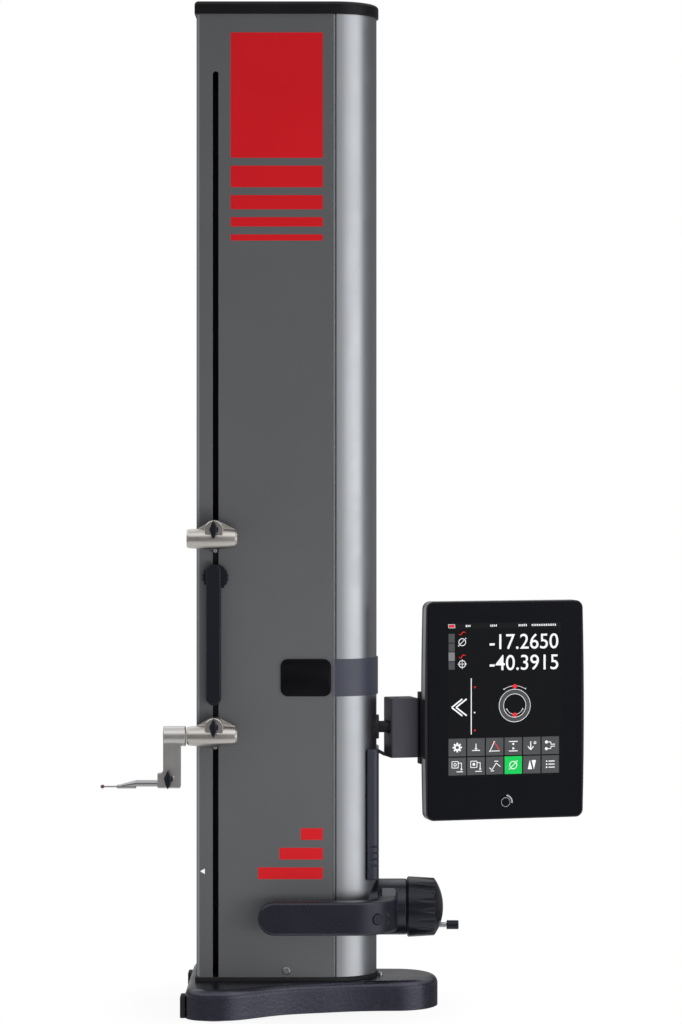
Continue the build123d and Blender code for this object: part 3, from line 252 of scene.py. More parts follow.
def mix_colours(tree, amount, first, second):
    """Colour socket between two colours, each a socket or three numbers."""
    made = node(tree, "ShaderNodeMix", data_type="RGBA")
    for index, value in ((0, amount), (6, first), (7, second)):
        if isinstance(value, bpy.types.NodeSocket):
            tree.links.new(value, made.inputs[index])
        elif index:
            made.inputs[index].default_value = (*value[:3], 1)
        else:
            made.inputs[index].default_value = value
    return made.outputs[2]


def stretch(tree, value, low, high, new_low, new_high):
    """Value socket moved from one range to another and kept inside it."""
    made = node(
        tree, "ShaderNodeMapRange",
        {"Value": value, "From Min": low, "From Max": high, "To Min": new_low, "To Max": new_high},
        clamp=True,
    )
    return made.outputs["Result"]


SKIN_OUTPUTS = {"Height": "NodeSocketFloat", "Tone": "NodeSocketFloat"}


def effect(name, inputs, outputs):
    """Empty shader node group with named sockets, and its input and output nodes."""
    group = bpy.data.node_groups.new(name, "ShaderNodeTree")
    for label, value in inputs.items():
        socket = group.interface.new_socket(label, in_out="INPUT", socket_type="NodeSocketFloat")
        socket.default_value = value
    for label, kind in outputs.items():
        group.interface.new_socket(label, in_out="OUTPUT", socket_type=kind)
    return group, group.nodes.new("NodeGroupInput"), group.nodes.new("NodeGroupOutput")


def object_coordinates(tree):
    """Socket of the piece's own coordinates, in metres."""
    return node(tree, "ShaderNodeTexCoord").outputs["Object"]


def build_fine_grain():
    """Fine orange-peel grain of powder coat and moulded plastic, with a faint broad mottling."""
    group, entry, leave = effect("Fine Grain", {"Scale": 900.0, "Mottle Scale": 14.0}, SKIN_OUTPUTS)
    place = object_coordinates(group)
    fine = node(
        group, "ShaderNodeTexNoise",
        {"Vector": place, "Scale": entry.outputs["Scale"], "Detail": 3.0, "Roughness": 0.6},
    )
    broad = node(
        group, "ShaderNodeTexNoise",
        {"Vector": place, "Scale": entry.outputs["Mottle Scale"], "Detail": 4.0, "Roughness": 0.55},
    )
    group.links.new(fine.outputs["Fac"], leave.inputs["Height"])
    group.links.new(stretch(group, broad.outputs["Fac"], 0.3, 0.7, 0.0, 1.0), leave.inputs["Tone"])
    return group


def build_hammered_skin():
    """Dimples of hammered enamel on a casting."""
    group, entry, leave = effect("Hammered Skin", {"Scale": 420.0, "Grit": 0.35}, SKIN_OUTPUTS)
    place = object_coordinates(group)
    dimples = node(
        group, "ShaderNodeTexVoronoi",
        {"Vector": place, "Scale": entry.outputs["Scale"], "Smoothness": 0.8, "Randomness": 1.0},
        feature="SMOOTH_F1",
    )
    grit = node(
        group, "ShaderNodeTexNoise",
        {"Vector": place, "Scale": math_node(group, "MULTIPLY", entry.outputs["Scale"], 3.1),
         "Detail": 2.0},
    )
    grit_part = math_node(group, "MULTIPLY", grit.outputs["Fac"], entry.outputs["Grit"])
    height = math_node(group, "ADD", dimples.outputs["Distance"], grit_part)
    group.links.new(height, leave.inputs["Height"])
    group.links.new(stretch(group, height, 0.2, 0.9, 0.0, 1.0), leave.inputs["Tone"])
    return group


def build_drawn_lines():
    """Fine lines along the length of drawn or ground metal."""
    group, entry, leave = effect(
        "Drawn Lines", {"Scale": 700.0, "Length Share": 0.006, "Turn": 0.0}, SKIN_OUTPUTS
    )
    turned = node(
        group, "ShaderNodeVectorRotate",
        {"Vector": object_coordinates(group), "Axis": (0, 1, 0), "Angle": entry.outputs["Turn"]},
    )
    along = node(group, "ShaderNodeCombineXYZ", {"X": 1.0, "Y": 1.0, "Z": entry.outputs["Length Share"]})
    squeezed = node(
        group, "ShaderNodeVectorMath", {0: turned.outputs[0], 1: along.outputs[0]}, operation="MULTIPLY"
    )
    lines = node(
        group, "ShaderNodeTexNoise",
        {"Vector": squeezed.outputs[0], "Scale": entry.outputs["Scale"], "Detail": 3.0,
         "Roughness": 0.7},
    )
    group.links.new(lines.outputs["Fac"], leave.inputs["Height"])
    group.links.new(stretch(group, lines.outputs["Fac"], 0.3, 0.7, 0.0, 1.0), leave.inputs["Tone"])
    return group


def build_soft_edge():
    """Broken sharp edge: a rounded normal, and a mask where the coat is thin along the edge."""
    group, entry, leave = effect(
        "Soft Edge", {"Radius": 0.4 * MM, "Breakup": 160.0},
        {"Normal": "NodeSocketVector", "Mask": "NodeSocketFloat"},
    )
    rounded = node(group, "ShaderNodeBevel", {"Radius": entry.outputs["Radius"]}, samples=6)
    flat = node(group, "ShaderNodeNewGeometry")
    match = node(
        group, "ShaderNodeVectorMath", {0: rounded.outputs["Normal"], 1: flat.outputs["Normal"]},
        operation="DOT_PRODUCT",
    )
    edge = stretch(group, match.outputs["Value"], 0.995, 0.86, 0.0, 1.0)
    breakup = node(
        group, "ShaderNodeTexNoise",
        {"Vector": object_coordinates(group), "Scale": entry.outputs["Breakup"], "Detail": 4.0},
    )
    broken = stretch(group, breakup.outputs["Fac"], 0.35, 0.6, 0.0, 1.0)
    group.links.new(rounded.outputs["Normal"], leave.inputs["Normal"])
    group.links.new(math_node(group, "MULTIPLY", edge, broken), leave.inputs["Mask"])
    return group


def build_handling():
    """Faint smears where hands and cloths leave the surface a little less even."""
    group, entry, leave = effect("Handling", {"Scale": 22.0}, {"Mask": "NodeSocketFloat"})
    smear = node(
        group, "ShaderNodeTexNoise",
        {"Vector": object_coordinates(group), "Scale": entry.outputs["Scale"], "Detail": 5.0,
         "Roughness": 0.62, "Distortion": 0.8},
    )
    group.links.new(stretch(group, smear.outputs["Fac"], 0.35, 0.65, 0.0, 1.0), leave.inputs["Mask"])
    return group


EFFECTS = {
    "fine_grain": build_fine_grain(),
    "hammered_skin": build_hammered_skin(),
    "drawn_lines": build_drawn_lines(),
    "soft_edge": build_soft_edge(),
    "handling": build_handling(),
}


def use_effect(tree, name, **inputs):
    """Places a shared effect in a material, with its own values."""
    made = node(tree, "ShaderNodeGroup", node_tree=EFFECTS[name])
    for key, value in inputs.items():
        made.inputs[key.replace("_", " ").title()].default_value = value
    return made


def surface(name, colour, roughness, skin="fine_grain", skin_scale=900.0, bump=0.01, mottle=0.06,
            edge=0.4, worn=None, wear=0.0, smear=0.06, **gloss_values):
    """Finish with a skin, softened edges, wear and handling marks. bump and edge are in millimetres."""
    made = bpy.data.materials.new(name)
    made.use_nodes = True
    tree = made.node_tree
    tree.nodes.clear()
    sockets = {SHADER_SOCKETS[key]: value for key, value in gloss_values.items()}
    shader = node(tree, "ShaderNodeBsdfPrincipled", sockets)
    node(tree, "ShaderNodeOutputMaterial", {"Surface": shader.outputs[0]})
    texture = use_effect(tree, skin, Scale=skin_scale)
    rim = use_effect(tree, "soft_edge", Radius=edge * MM)
    marks = use_effect(tree, "handling")
    deep = tuple(value * (1 - mottle) for value in colour)
    light = tuple(min(1.0, value * (1 + mottle)) for value in colour)
    tone = mix_colours(tree, texture.outputs["Tone"], deep, light)
    if worn:
        tone = mix_colours(tree, math_node(tree, "MULTIPLY", rim.outputs["Mask"], wear), tone, worn)
    tree.links.new(tone, shader.inputs["Base Color"])
    rough = stretch(tree, marks.outputs["Mask"], 0.0, 1.0, roughness - smear, roughness + smear)
    tree.links.new(rough, shader.inputs["Roughness"])
    relief = node(
        tree, "ShaderNodeBump",
        {"Strength": 1.0, "Distance": bump * MM, "Height": texture.outputs["Height"],
         "Normal": rim.outputs["Normal"]},
    )
    tree.links.new(relief.outputs[0], shader.inputs["Normal"])
    return made


def drawn_metal(name, colour, roughness, line_scale, bump, mottle=0.05, edge=0.3, smear=0.06):
    """Bare metal with the fine lines of drawing, milling or grinding."""
    return surface(
        name, colour, roughness, skin="drawn_lines", skin_scale=line_scale, bump=bump, mottle=mottle,
        edge=edge, smear=smear, metal=1.0,
    )


def printed(name, colour, roughness=0.35, glow=0.0, gloss=0.2):
    """Ink or lit screen colour, with a faint mottling and an even gloss."""
    made = surface(
        name, colour, roughness, skin_scale=1400.0, bump=0.002, mottle=0.03, edge=0.05, smear=0.03,
        gloss=gloss,
    )
    shader = made.node_tree.nodes["Principled BSDF"]
    if glow:
        shader.inputs["Emission Color"].default_value = (*colour, 1)
        shader.inputs["Emission Strength"].default_value = glow
    return made


def finish_piece(name, bm, finish, body, place=None, crease=35):
    """Turns a bmesh into a piece that rides on a body and takes its finish from a slot."""
    bmesh.ops.remove_doubles(bm, verts=bm.verts, dist=0.0005 * MM)
    bmesh.ops.recalc_face_normals(bm, faces=bm.faces)
    if place:
        bmesh.ops.transform(bm, matrix=place, verts=bm.verts)
    for face in bm.faces:
        face.smooth = True
    for edge in bm.edges:
        edge.smooth = edge.is_manifold and edge.calc_face_angle(0) < math.radians(crease)
    mesh = bpy.data.meshes.new(name)
    bm.to_mesh(mesh)
    bm.free()
    mesh.materials.append(finish)
    piece = bpy.data.objects.new(name, mesh)
    bpy.context.scene.collection.objects.link(piece)
    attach(piece, body)
    return piece


def stand_new(bm, before, middle, thickness, turn=0.0):
    """Turns the flat faces made since before to face -Y, puts them at middle and thickens them."""
    faces = [face for face in bm.faces if face not in before]
    verts = list({vert for face in faces for vert in face.verts})
    upright = Matrix.Rotation(math.radians(90), 4, "X")
    in_plane = Matrix.Rotation(turn, 4, "Z")
    bmesh.ops.transform(bm, matrix=Matrix.Translation(middle) @ upright @ in_plane, verts=verts)
    made = bmesh.ops.extrude_face_region(bm, geom=faces)["geom"]
    raised = [part for part in made if isinstance(part, bmesh.types.BMVert)]
    bmesh.ops.translate(bm, vec=(0, -thickness, 0), verts=raised)


def add_plate(bm, middle, size, thickness=PRINT_THICKNESS, corner=0.0, turn=0.0):
    """Flat plate facing -Y with its back at middle, and rounded corners if corner is given."""
    before = set(bm.faces)
    corners = bmesh.ops.create_grid(bm, x_segments=1, y_segments=1, size=0.5)["verts"]
    bmesh.ops.scale(bm, vec=(size[0], size[1], 1), verts=corners)
    if corner:
        bmesh.ops.bevel(
            bm, geom=corners, offset=corner, affect="VERTICES", segments=5, profile=0.5, material=-1
        )
    stand_new(bm, before, middle, thickness, turn)


def add_disc(bm, middle, radius, thickness=PRINT_THICKNESS, sides=ROUND_STEPS, turn=0.0):
    """Flat disc or regular polygon facing -Y, with its back at middle."""
    before = set(bm.faces)
    bmesh.ops.create_circle(bm, cap_ends=True, segments=sides, radius=radius)
    stand_new(bm, before, middle, thickness, turn)


def add_ring(bm, middle, outer, inner, thickness=PRINT_THICKNESS, start=0.0, sweep=360.0):
    """Flat ring or arc facing -Y. Angles are in degrees, anticlockwise from +X."""
    before = set(bm.faces)
    first = bm.verts.new((inner, 0, 0))
    second = bm.verts.new((outer, 0, 0))
    edge = bm.edges.new((first, second))
    bmesh.ops.rotate(
        bm, verts=[first, second], cent=(0, 0, 0), matrix=Matrix.Rotation(math.radians(start), 3, "Z")
    )
    bmesh.ops.spin(
        bm, geom=[first, second, edge], cent=(0, 0, 0), axis=(0, 0, 1), angle=math.radians(sweep),
        steps=max(6, round(ROUND_STEPS * sweep / 360)), use_merge=sweep >= 360,
    )
    stand_new(bm, before, middle, thickness)


def add_bar(bm, start, end, width, depth, thickness=PRINT_THICKNESS):
    """Straight stroke facing -Y from one point (x, z) to another, at depth y."""
    run = Vector((end[0] - start[0], end[1] - start[1]))
    middle = ((start[0] + end[0]) / 2, depth, (start[1] + end[1]) / 2)
    add_plate(bm, middle, (run.length, width), thickness, turn=math.atan2(run.y, run.x))


def add_lathe(bm, profile, middle, axis="X", steps=ROUND_STEPS):
    """Closed turned body from (along, radius) points that start and end on its axis, X or -Y."""
    before = set(bm.faces)
    line = [bm.verts.new((along, 0, radius)) for along, radius in profile]
    edges = [bm.edges.new(pair) for pair in zip(line, line[1:])]
    bmesh.ops.spin(
        bm, geom=line + edges, cent=(0, 0, 0), axis=(1, 0, 0), angle=math.radians(360), steps=steps,
        use_merge=True,
    )
    faces = [face for face in bm.faces if face not in before]
    verts = list({vert for face in faces for vert in face.verts})
    turn = Matrix.Rotation(math.radians(-90 if axis == "-Y" else 0), 4, "Z")
    bmesh.ops.transform(bm, matrix=Matrix.Translation(middle) @ turn, verts=verts)


def text_mesh(words, width, height):
    """Mesh of plain figures, facing -Y, fitted to a box whose lower left front corner is the origin."""
    curve = bpy.data.curves.new("figures", "FONT")
    curve.body = words
    curve.extrude = PRINT_THICKNESS / 2
    bolder = 0.004
    curve.offset = bolder
    shape = bpy.data.objects.new("figures", curve)
    bpy.context.scene.collection.objects.link(shape)
    bpy.context.view_layer.update()
    mesh = bpy.data.meshes.new_from_object(shape)
    bpy.data.objects.remove(shape)
    bm = bmesh.new()
    bm.from_mesh(mesh)
    bpy.data.meshes.remove(mesh)
    low = [min(v.co[axis] for v in bm.verts) for axis in range(2)]
    high = [max(v.co[axis] for v in bm.verts) for axis in range(2)]
    bmesh.ops.translate(bm, vec=(-low[0], -low[1], PRINT_THICKNESS / 2), verts=bm.verts)
    bmesh.ops.scale(bm, vec=(width / (high[0] - low[0]), height / (high[1] - low[1]), 1), verts=bm.verts)
    bmesh.ops.rotate(
        bm, verts=bm.verts, cent=(0, 0, 0), matrix=Matrix.Rotation(math.radians(90), 3, "X")
    )
    return bm


def display_place():
    """Matrix from the display's own frame, with the swivel pin as its origin, to the model's."""
    return Matrix.Translation(DISPLAY_PIVOT) @ Matrix.Rotation(DISPLAY_YAW, 4, "Z")


def display_print(name, bm, colour, body="display"):
    """Piece drawn in the display's own frame, with the finish it is given."""
    return finish_piece(name, bm, colour, body, display_place())


def build_finishes(settings):
    """One finish for each material slot of the record, and one for the band round the rear."""
    blue_coat = {"bump": 0.012, "coat": 0.35, "coat_roughness": 0.3}
    return {
        "cast_black": surface(
            "Hammered enamel", settings.cast_enamel, 0.23, skin="hammered_skin", skin_scale=330.0,
            bump=0.12, mottle=0.25, edge=1.0, worn=paint(60, 60, 66), wear=0.2, gloss=1.0,
            tint=BLUE_SHEEN,
        ),
        "lapped_steel": drawn_metal("Lapped steel", settings.steel, 0.24, 900.0, 0.004),
        "rubber": surface("Rubber", settings.rubber, 0.72, skin_scale=1200.0, bump=0.02, mottle=0.12),
        "extrusion": drawn_metal(
            "Satin anodised aluminium", settings.anodised, 0.33, 900.0, 0.006, mottle=0.03, edge=0.5,
            smear=0.03,
        ),
        "plate_grey": surface(
            "Plate powder coat", settings.plate_paint, 0.44, skin_scale=1100.0, bump=0.008, mottle=0.03,
            edge=0.5, worn=paint(190, 192, 195), wear=0.35, smear=0.04,
        ),
        "cap_black": surface(
            "Moulded cap", settings.cap_plastic, 0.36, bump=0.012, edge=0.8, gloss=0.3
        ),
        "cover_blue": surface("Cover paint", settings.cover_paint, 0.36, edge=0.6, **blue_coat),
        # Painted light: the band is a lighter copy of the cover's paint
        "band_blue": surface("Band paint", settings.band_paint_painted_lighter, 0.36, edge=0.4, **blue_coat),
        "badge_black": surface(
            "Badge gloss", paint(8, 8, 12), 0.16, bump=0.002, mottle=0.1, edge=0.4, smear=0.03, gloss=0.2
        ),
        "handle_black": surface(
            "Handle textured coat", settings.handle_paint, 0.3, skin_scale=1000.0, bump=0.02,
            mottle=0.1, edge=0.9, gloss=0.85, tint=BLUE_SHEEN,
        ),
        "knob_black": surface(
            "Moulded knob", settings.knob_plastic, 0.25, skin_scale=1300.0, bump=0.01, mottle=0.08,
            edge=0.5, tint=BLUE_SHEEN,
        ),
        "nickel": drawn_metal(
            "Satin nickel", settings.nickel, 0.3, 1300.0, 0.004, edge=0.35, smear=0.05
        ),
        "nickel_dark": drawn_metal(
            "Probe holder nickel", settings.dark_nickel, 0.34, 1300.0, 0.004, edge=0.35, smear=0.05
        ),
        "steel": drawn_metal("Ground steel", settings.steel, 0.22, 1500.0, 0.003, edge=0.2, smear=0.05),
        "inner_black": surface("Black anodised", paint(14, 14, 16), 0.5, bump=0.01),
        "alloy": drawn_metal(
            "Milled alloy", paint(186, 188, 192), 0.38, 800.0, 0.01, mottle=0.06, edge=0.4
        ),
        "scale_glass": surface(
            "Scale glass", paint(150, 170, 168), 0.1, bump=0.001, edge=0.2, coat=1.0, coat_roughness=0.03
        ),
        "ruby": surface(
            "Ruby", settings.ruby, 0.08, bump=0.0005, mottle=0.2, edge=0.05, smear=0.02, coat=1.0,
            coat_roughness=0.02, index=1.76,
        ),
        "display_silver": surface(
            "Display shell", settings.bezel, 0.36, bump=0.006, edge=0.6, smear=0.04, metal=0.85
        ),
        "display_black": surface(
            "Display glass", settings.glass, 0.14, bump=0.0008, mottle=0.1, edge=0.4, smear=0.03,
            gloss=0.1,
        ),
        "hinge_grey": surface("Hinge paint", settings.hinge_paint, 0.45, bump=0.014, edge=0.6),
        "board_green": surface(
            "Circuit board", paint(18, 78, 44), 0.3, skin="drawn_lines", skin_scale=500.0, bump=0.01,
            mottle=0.25, edge=0.2, coat=0.4,
        ),
    }


def paint_over(made, mask, colour):
    """Covers a metal finish with paint where the mask is 1."""
    tree = made.node_tree
    shader = tree.nodes["Principled BSDF"]
    bare = shader.inputs["Base Color"].links[0].from_socket
    tree.links.new(mix_colours(tree, mask, bare, colour), shader.inputs["Base Color"])
    metallic = shader.inputs["Metallic"]
    tree.links.new(stretch(tree, mask, 0.0, 1.0, metallic.default_value, 0.0), metallic)


def paint_bore_shade(made):
    """Paints shade into the column's bore as a dull black, and leaves its walls bare."""
    tree = made.node_tree
    low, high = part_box("column_profile")
    round_middle = high.x - high.y
    bore_radius = high.y - 4.4 * MM
    bore_left = low.x + 4.6 * MM
    parts = node(tree, "ShaderNodeSeparateXYZ", {0: object_coordinates(tree)})
    rear = math_node(
        tree, "MAXIMUM", math_node(tree, "SUBTRACT", parts.outputs["X"], round_middle), 0.0
    )
    across = node(tree, "ShaderNodeCombineXYZ", {"X": rear, "Y": parts.outputs["Y"]})
    out = node(tree, "ShaderNodeVectorMath", {0: across.outputs[0]}, operation="LENGTH")
    within = math_node(tree, "LESS_THAN", out.outputs["Value"], bore_radius)
    right = math_node(tree, "GREATER_THAN", parts.outputs["X"], bore_left)
    # Painted shade: the whole bore inside the column is made dull black
    paint_over(made, math_node(tree, "MULTIPLY", within, right), paint(24, 24, 28))


def blacken_rims(made):
    """Leaves the display's shell silver only in a band round its side, near the glass."""
    tree = made.node_tree
    backward = Vector((-math.sin(DISPLAY_YAW), math.cos(DISPLAY_YAW), 0))
    band_front = GLASS_FACE + 2.1 * MM + backward.dot(DISPLAY_PIVOT)
    band_back = band_front + 9.6 * MM
    soft = 0.3 * MM
    across = node(
        tree, "ShaderNodeVectorMath", {0: object_coordinates(tree), 1: backward},
        operation="DOT_PRODUCT",
    )
    before = stretch(tree, across.outputs["Value"], band_front, band_front + soft, 1.0, 0.0)
    behind = stretch(tree, across.outputs["Value"], band_back, band_back + 2 * soft, 0.0, 1.0)
    paint_over(made, math_node(tree, "MAXIMUM", before, behind), paint(15, 15, 20))


class GAUGE_OT_finishes(bpy.types.Operator):
    """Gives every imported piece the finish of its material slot."""

    bl_idname = "gauge.finishes"
    bl_label = "Finishes"

    def execute(self, context):
        finishes = build_finishes(context.scene.gauge_finish)
        # Painted shade inside the column's bore
        paint_bore_shade(finishes["extrusion"])
        blacken_rims(finishes["display_silver"])
        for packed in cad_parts.values():
            for slot in packed.material_slots:
                slot.material = finishes[slot.material.name]
        for name, finish in (
            ("display_flange", "inner_black"), ("display_shaft", "inner_black"),
            ("stylus_sleeve", "steel"), ("badge_band", "band_blue"),
        ):
            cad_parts[name].material_slots[0].material = finishes[finish]
        return {"FINISHED"}


def finish_named(name):
    """Finish that the finishes operator made."""
    return bpy.data.materials[name]


class GAUGE_OT_panels(bpy.types.Operator):
    """Makes the red panels and the index mark printed on the front plate."""

    bl_idname = "gauge.panels"
    bl_label = "Plate prints"

    def execute(self, context):
        settings = context.scene.gauge_panel
        red = printed("Panel red", settings.red, 0.4)
        self.upper_panel(settings, red)
        self.lower_panel(settings, red)
        self.index_mark()
        return {"FINISHED"}

    def upper_panel(self, settings, red):
        """Plain block with stripes under it, each thinner than the one above."""
        middle = (settings.left + settings.right) / 2
        width = settings.right - settings.left
        top = settings.upper_top
        heights = [settings.upper_block]
        heights += [settings.first_stripe * settings.stripe_ratio**i for i in range(settings.stripe_count)]
        bm = bmesh.new()
        for height in heights:
            add_plate(bm, (middle, PLATE_FACE, top - height / 2), (width, height))
            top -= height + settings.stripe_gap
        finish_piece("upper_panel", bm, red, "stand")

    def lower_panel(self, settings, red):
        """Stripes flush at the right, each longer than the one above."""
        shares = (0.34, 0.67, 1.0)
        pitch = settings.lower_stripe + settings.stripe_gap
        bm = bmesh.new()
        for index, share in enumerate(shares):
            length = settings.lower_width * share
            middle = (
                settings.right - length / 2, PLATE_FACE,
                settings.lower_top - settings.lower_stripe / 2 - index * pitch,
            )
            add_plate(bm, middle, (length, settings.lower_stripe))
        finish_piece("lower_panel", bm, red, "stand")

    def index_mark(self):
        """Small white triangle between the slot and the plate's left edge, pointing to the edge."""
        radius = 3.2 * MM
        middle = (plate_low.x + 7 * MM, PLATE_FACE, 144 * MM)
        bm = bmesh.new()
        add_disc(bm, middle, radius, sides=3, turn=math.radians(90))
        white = printed("Mark white", paint(225, 228, 228), 0.4)
        finish_piece("index_mark", bm, white, "stand")


class GAUGE_OT_strips(bpy.types.Operator):
    """Makes a dark strip of painted shade in the groove beside the front plate, and a strip of painted
    highlight along the plate's left edge.
    """

    bl_idname = "gauge.strips"
    bl_label = "Groove shade and edge highlight"

    def execute(self, context):
        # Painted shade: a thin dark strip sunk in the groove beside the front plate stands for the shade
        # in the groove
        groove = plate_high.x + 2.9 * MM
        sunk = 0.9 * MM
        bm = bmesh.new()
        add_plate(bm, (groove, PLATE_FACE + sunk, PLATE_MIDDLE), (1.2 * MM, PLATE_HEIGHT), 0.3 * MM)
        finish_piece("groove_shade_strip", bm, finish_named("Rubber"), "stand")
        # Painted highlight: a lighter grey strip along the plate's left edge, where the edge catches the
        # light
        edge = plate_low.x + 2.0 * MM
        short = 2 * MM
        bm = bmesh.new()
        add_plate(bm, (edge, PLATE_FACE, PLATE_MIDDLE), (2.2 * MM, PLATE_HEIGHT - short))
        edge_highlight = printed("Edge trim", paint(112, 114, 117), 0.4)
        finish_piece("edge_highlight_strip", bm, edge_highlight, "stand")
        return {"FINISHED"}


def screen_point(settings, right, down):
    """Place on the glass, in the display's frame, of a point measured from the screen's top left."""
    across = SCREEN_MIDDLE - settings.width / 2 + right * STRETCH_ACROSS * MM
    return across, settings.middle_z + settings.height / 2 - down * STRETCH_DOWN * MM


class ScreenLayer:
    """Prints of one colour on the screen, drawn in millimetres from its top left corner."""

    def __init__(self, settings, depth=1):
        self.settings = settings
        self.bm = bmesh.new()
        self.face = GLASS_FACE - depth * PRINT_THICKNESS

    def place(self, right, down):
        """Middle of a print, on this layer's depth."""
        across, height = screen_point(self.settings, right, down)
        return (across, self.face, height)

    def plate(self, right, down, width, height):
        """Rectangle by its middle and size."""
        add_plate(self.bm, self.place(right, down), (width * MM, height * MM))

    def bar(self, start, end, width):
        """Stroke between two points."""
        first = screen_point(self.settings, *start)
        second = screen_point(self.settings, *end)
        add_bar(self.bm, first, second, width * MM, self.face)

    def path(self, points, width):
        """Strokes from point to point."""
        for start, end in zip(points, points[1:]):
            self.bar(start, end, width)

    def disc(self, right, down, radius, sides=24, turn=0.0):
        """Disc or regular polygon."""
        add_disc(self.bm, self.place(right, down), radius * MM, sides=sides, turn=math.radians(turn))

    def ring(self, right, down, outer, inner, start=0.0, sweep=360.0):
        """Ring or arc."""
        add_ring(self.bm, self.place(right, down), outer * MM, inner * MM, start=start, sweep=sweep)

    def finish(self, name, colour):
        """Makes the layer a piece of the display."""
        display_print(name, self.bm, colour)


def button_middle(settings, column, row):
    """Middle of a soft button, in millimetres from the screen's top left."""
    right = FIRST_BUTTON_RIGHT + column * settings.column_pitch / MM
    lowered = settings.height / MM - FIRST_BUTTON_UP + row * settings.row_pitch / MM
    return right, lowered / STRETCH_DOWN


def draw_diameter(layer, right, down, radius):
    """Circle crossed by a slanted arrow line."""
    layer.ring(right, down, radius, radius - 0.7)
    reach = radius * 0.95
    layer.bar((right - reach, down + reach), (right + reach, down - reach), 0.6)
    layer.disc(right + reach, down - reach, 0.9, sides=3, turn=15)
    layer.disc(right - reach, down + reach, 0.9, sides=3, turn=195)


def draw_cross_circle(layer, right, down, radius):
    """Circle with a cross through it."""
    layer.ring(right, down, radius, radius - 0.7)
    layer.bar((right - radius - 1, down), (right + radius + 1, down), 0.5)
    layer.bar((right, down - radius - 1), (right, down + radius + 1), 0.5)


def draw_gear(layer, right, down):
    """Cog with eight teeth."""
    layer.ring(right, down, 3.4, 1.7)
    for index in range(8):
        angle = math.radians(45 * index)
        step = (math.cos(angle), math.sin(angle))
        layer.bar((right + 3.1 * step[0], down + 3.1 * step[1]),
                  (right + 4.9 * step[0], down + 4.9 * step[1]), 1.7)


def draw_foot(layer, right, down):
    """Upright on a line."""
    layer.bar((right, down - 3.5), (right, down + 3), 0.9)
    layer.bar((right - 4.2, down + 3.4), (right + 4.2, down + 3.4), 0.9)
    layer.bar((right - 1.6, down + 1.6), (right + 1.6, down + 1.6), 0.7)


def draw_angle(layer, right, down):
    """Angle between a base line and a slanted line."""
    layer.bar((right - 5, down + 4.4), (right + 5.4, down + 4.4), 0.8)
    layer.bar((right - 5, down + 4.4), (right - 0.4, down - 4.8), 0.8)
    layer.disc(right - 5, down + 4.4, 0.9)
    layer.disc(right - 0.4, down - 4.8, 0.8)


def draw_between(layer, right, down):
    """Arrows pointing from inside to two lines."""
    for side in (-1, 1):
        layer.bar((right - 4.6, down + side * 4.8), (right + 4.6, down + side * 4.8), 0.9)
        layer.disc(right, down + side * 2.3, 1.7, sides=3, turn=90 if side < 0 else 270)


def draw_down_arrow(layer, right, down):
    """Arrow down with a small ring beside it."""
    layer.bar((right - 1.2, down - 4.4), (right - 1.2, down + 3), 1.0)
    layer.path([(right - 4.2, down + 0.6), (right - 1.2, down + 4), (right + 1.8, down + 0.6)], 1.0)
    layer.ring(right + 3.4, down - 3, 1.4, 0.7)


def draw_branches(layer, right, down):
    """Two nodes joined to stepped lines."""
    for side in (-1, 1):
        layer.disc(right - 4.2, down + side * 3.4, 1.6)
        layer.path([(right - 4.2, down + side * 3.4), (right + 0.6, down + side * 3.4),
                    (right + 0.6, down + side * 1.0), (right + 5, down + side * 1.0)], 0.8)


def draw_store(layer, right, down, filled):
    """Box whose arrow leads down to a line."""
    layer.path([(right - 5.6, down - 5), (right + 1, down - 5), (right + 1, down + 1.4),
                (right - 5.6, down + 1.4), (right - 5.6, down - 5)], 0.7)
    if filled:
        layer.plate(right - 2.3, down - 1.8, 2.6, 2.6)
    else:
        layer.ring(right - 2.3, down - 1.8, 1.7, 1.0)
    layer.path([(right + 1, down - 3.4), (right + 4.4, down - 3.4), (right + 4.4, down + 3)], 0.7)
    layer.disc(right + 4.4, down + 3, 1.5, sides=3, turn=270)
    layer.bar((right - 0.8, down + 5.4), (right + 6, down + 5.4), 0.8)


def draw_slope(layer, right, down):
    """Rising line with a tick across each part."""
    layer.path([(right - 5.6, down + 2.2), (right - 2.8, down + 4.4), (right + 1.6, down - 2.6),
                (right + 6, down + 1.2)], 0.8)
    layer.bar((right - 4.4, down + 5.4), (right - 0.6, down + 5.4), 0.8)
    layer.bar((right - 0.4, down - 4.4), (right + 3.8, down - 4.4), 0.8)


def draw_wedges(layer, right, down):
    """Two upright wedges, one pointing up and one down."""
    for side in (-1, 1):
        middle = right + side * 2.1
        steps = 5
        for step in range(steps + 1):
            part = step / steps
            half = 1.9 * (1 - part) + 0.25
            level = down + side * (7.6 * part - 3.8)
            layer.bar((middle - half, level), (middle + half, level), 1.6)


def draw_list(layer, right, down):
    """Three short lines with a dot before each."""
    for row in (-1, 0, 1):
        layer.disc(right - 4, down + 3.1 * row, 0.8)
        layer.bar((right - 2, down + 3.1 * row), (right + 4.6, down + 3.1 * row), 1.0)


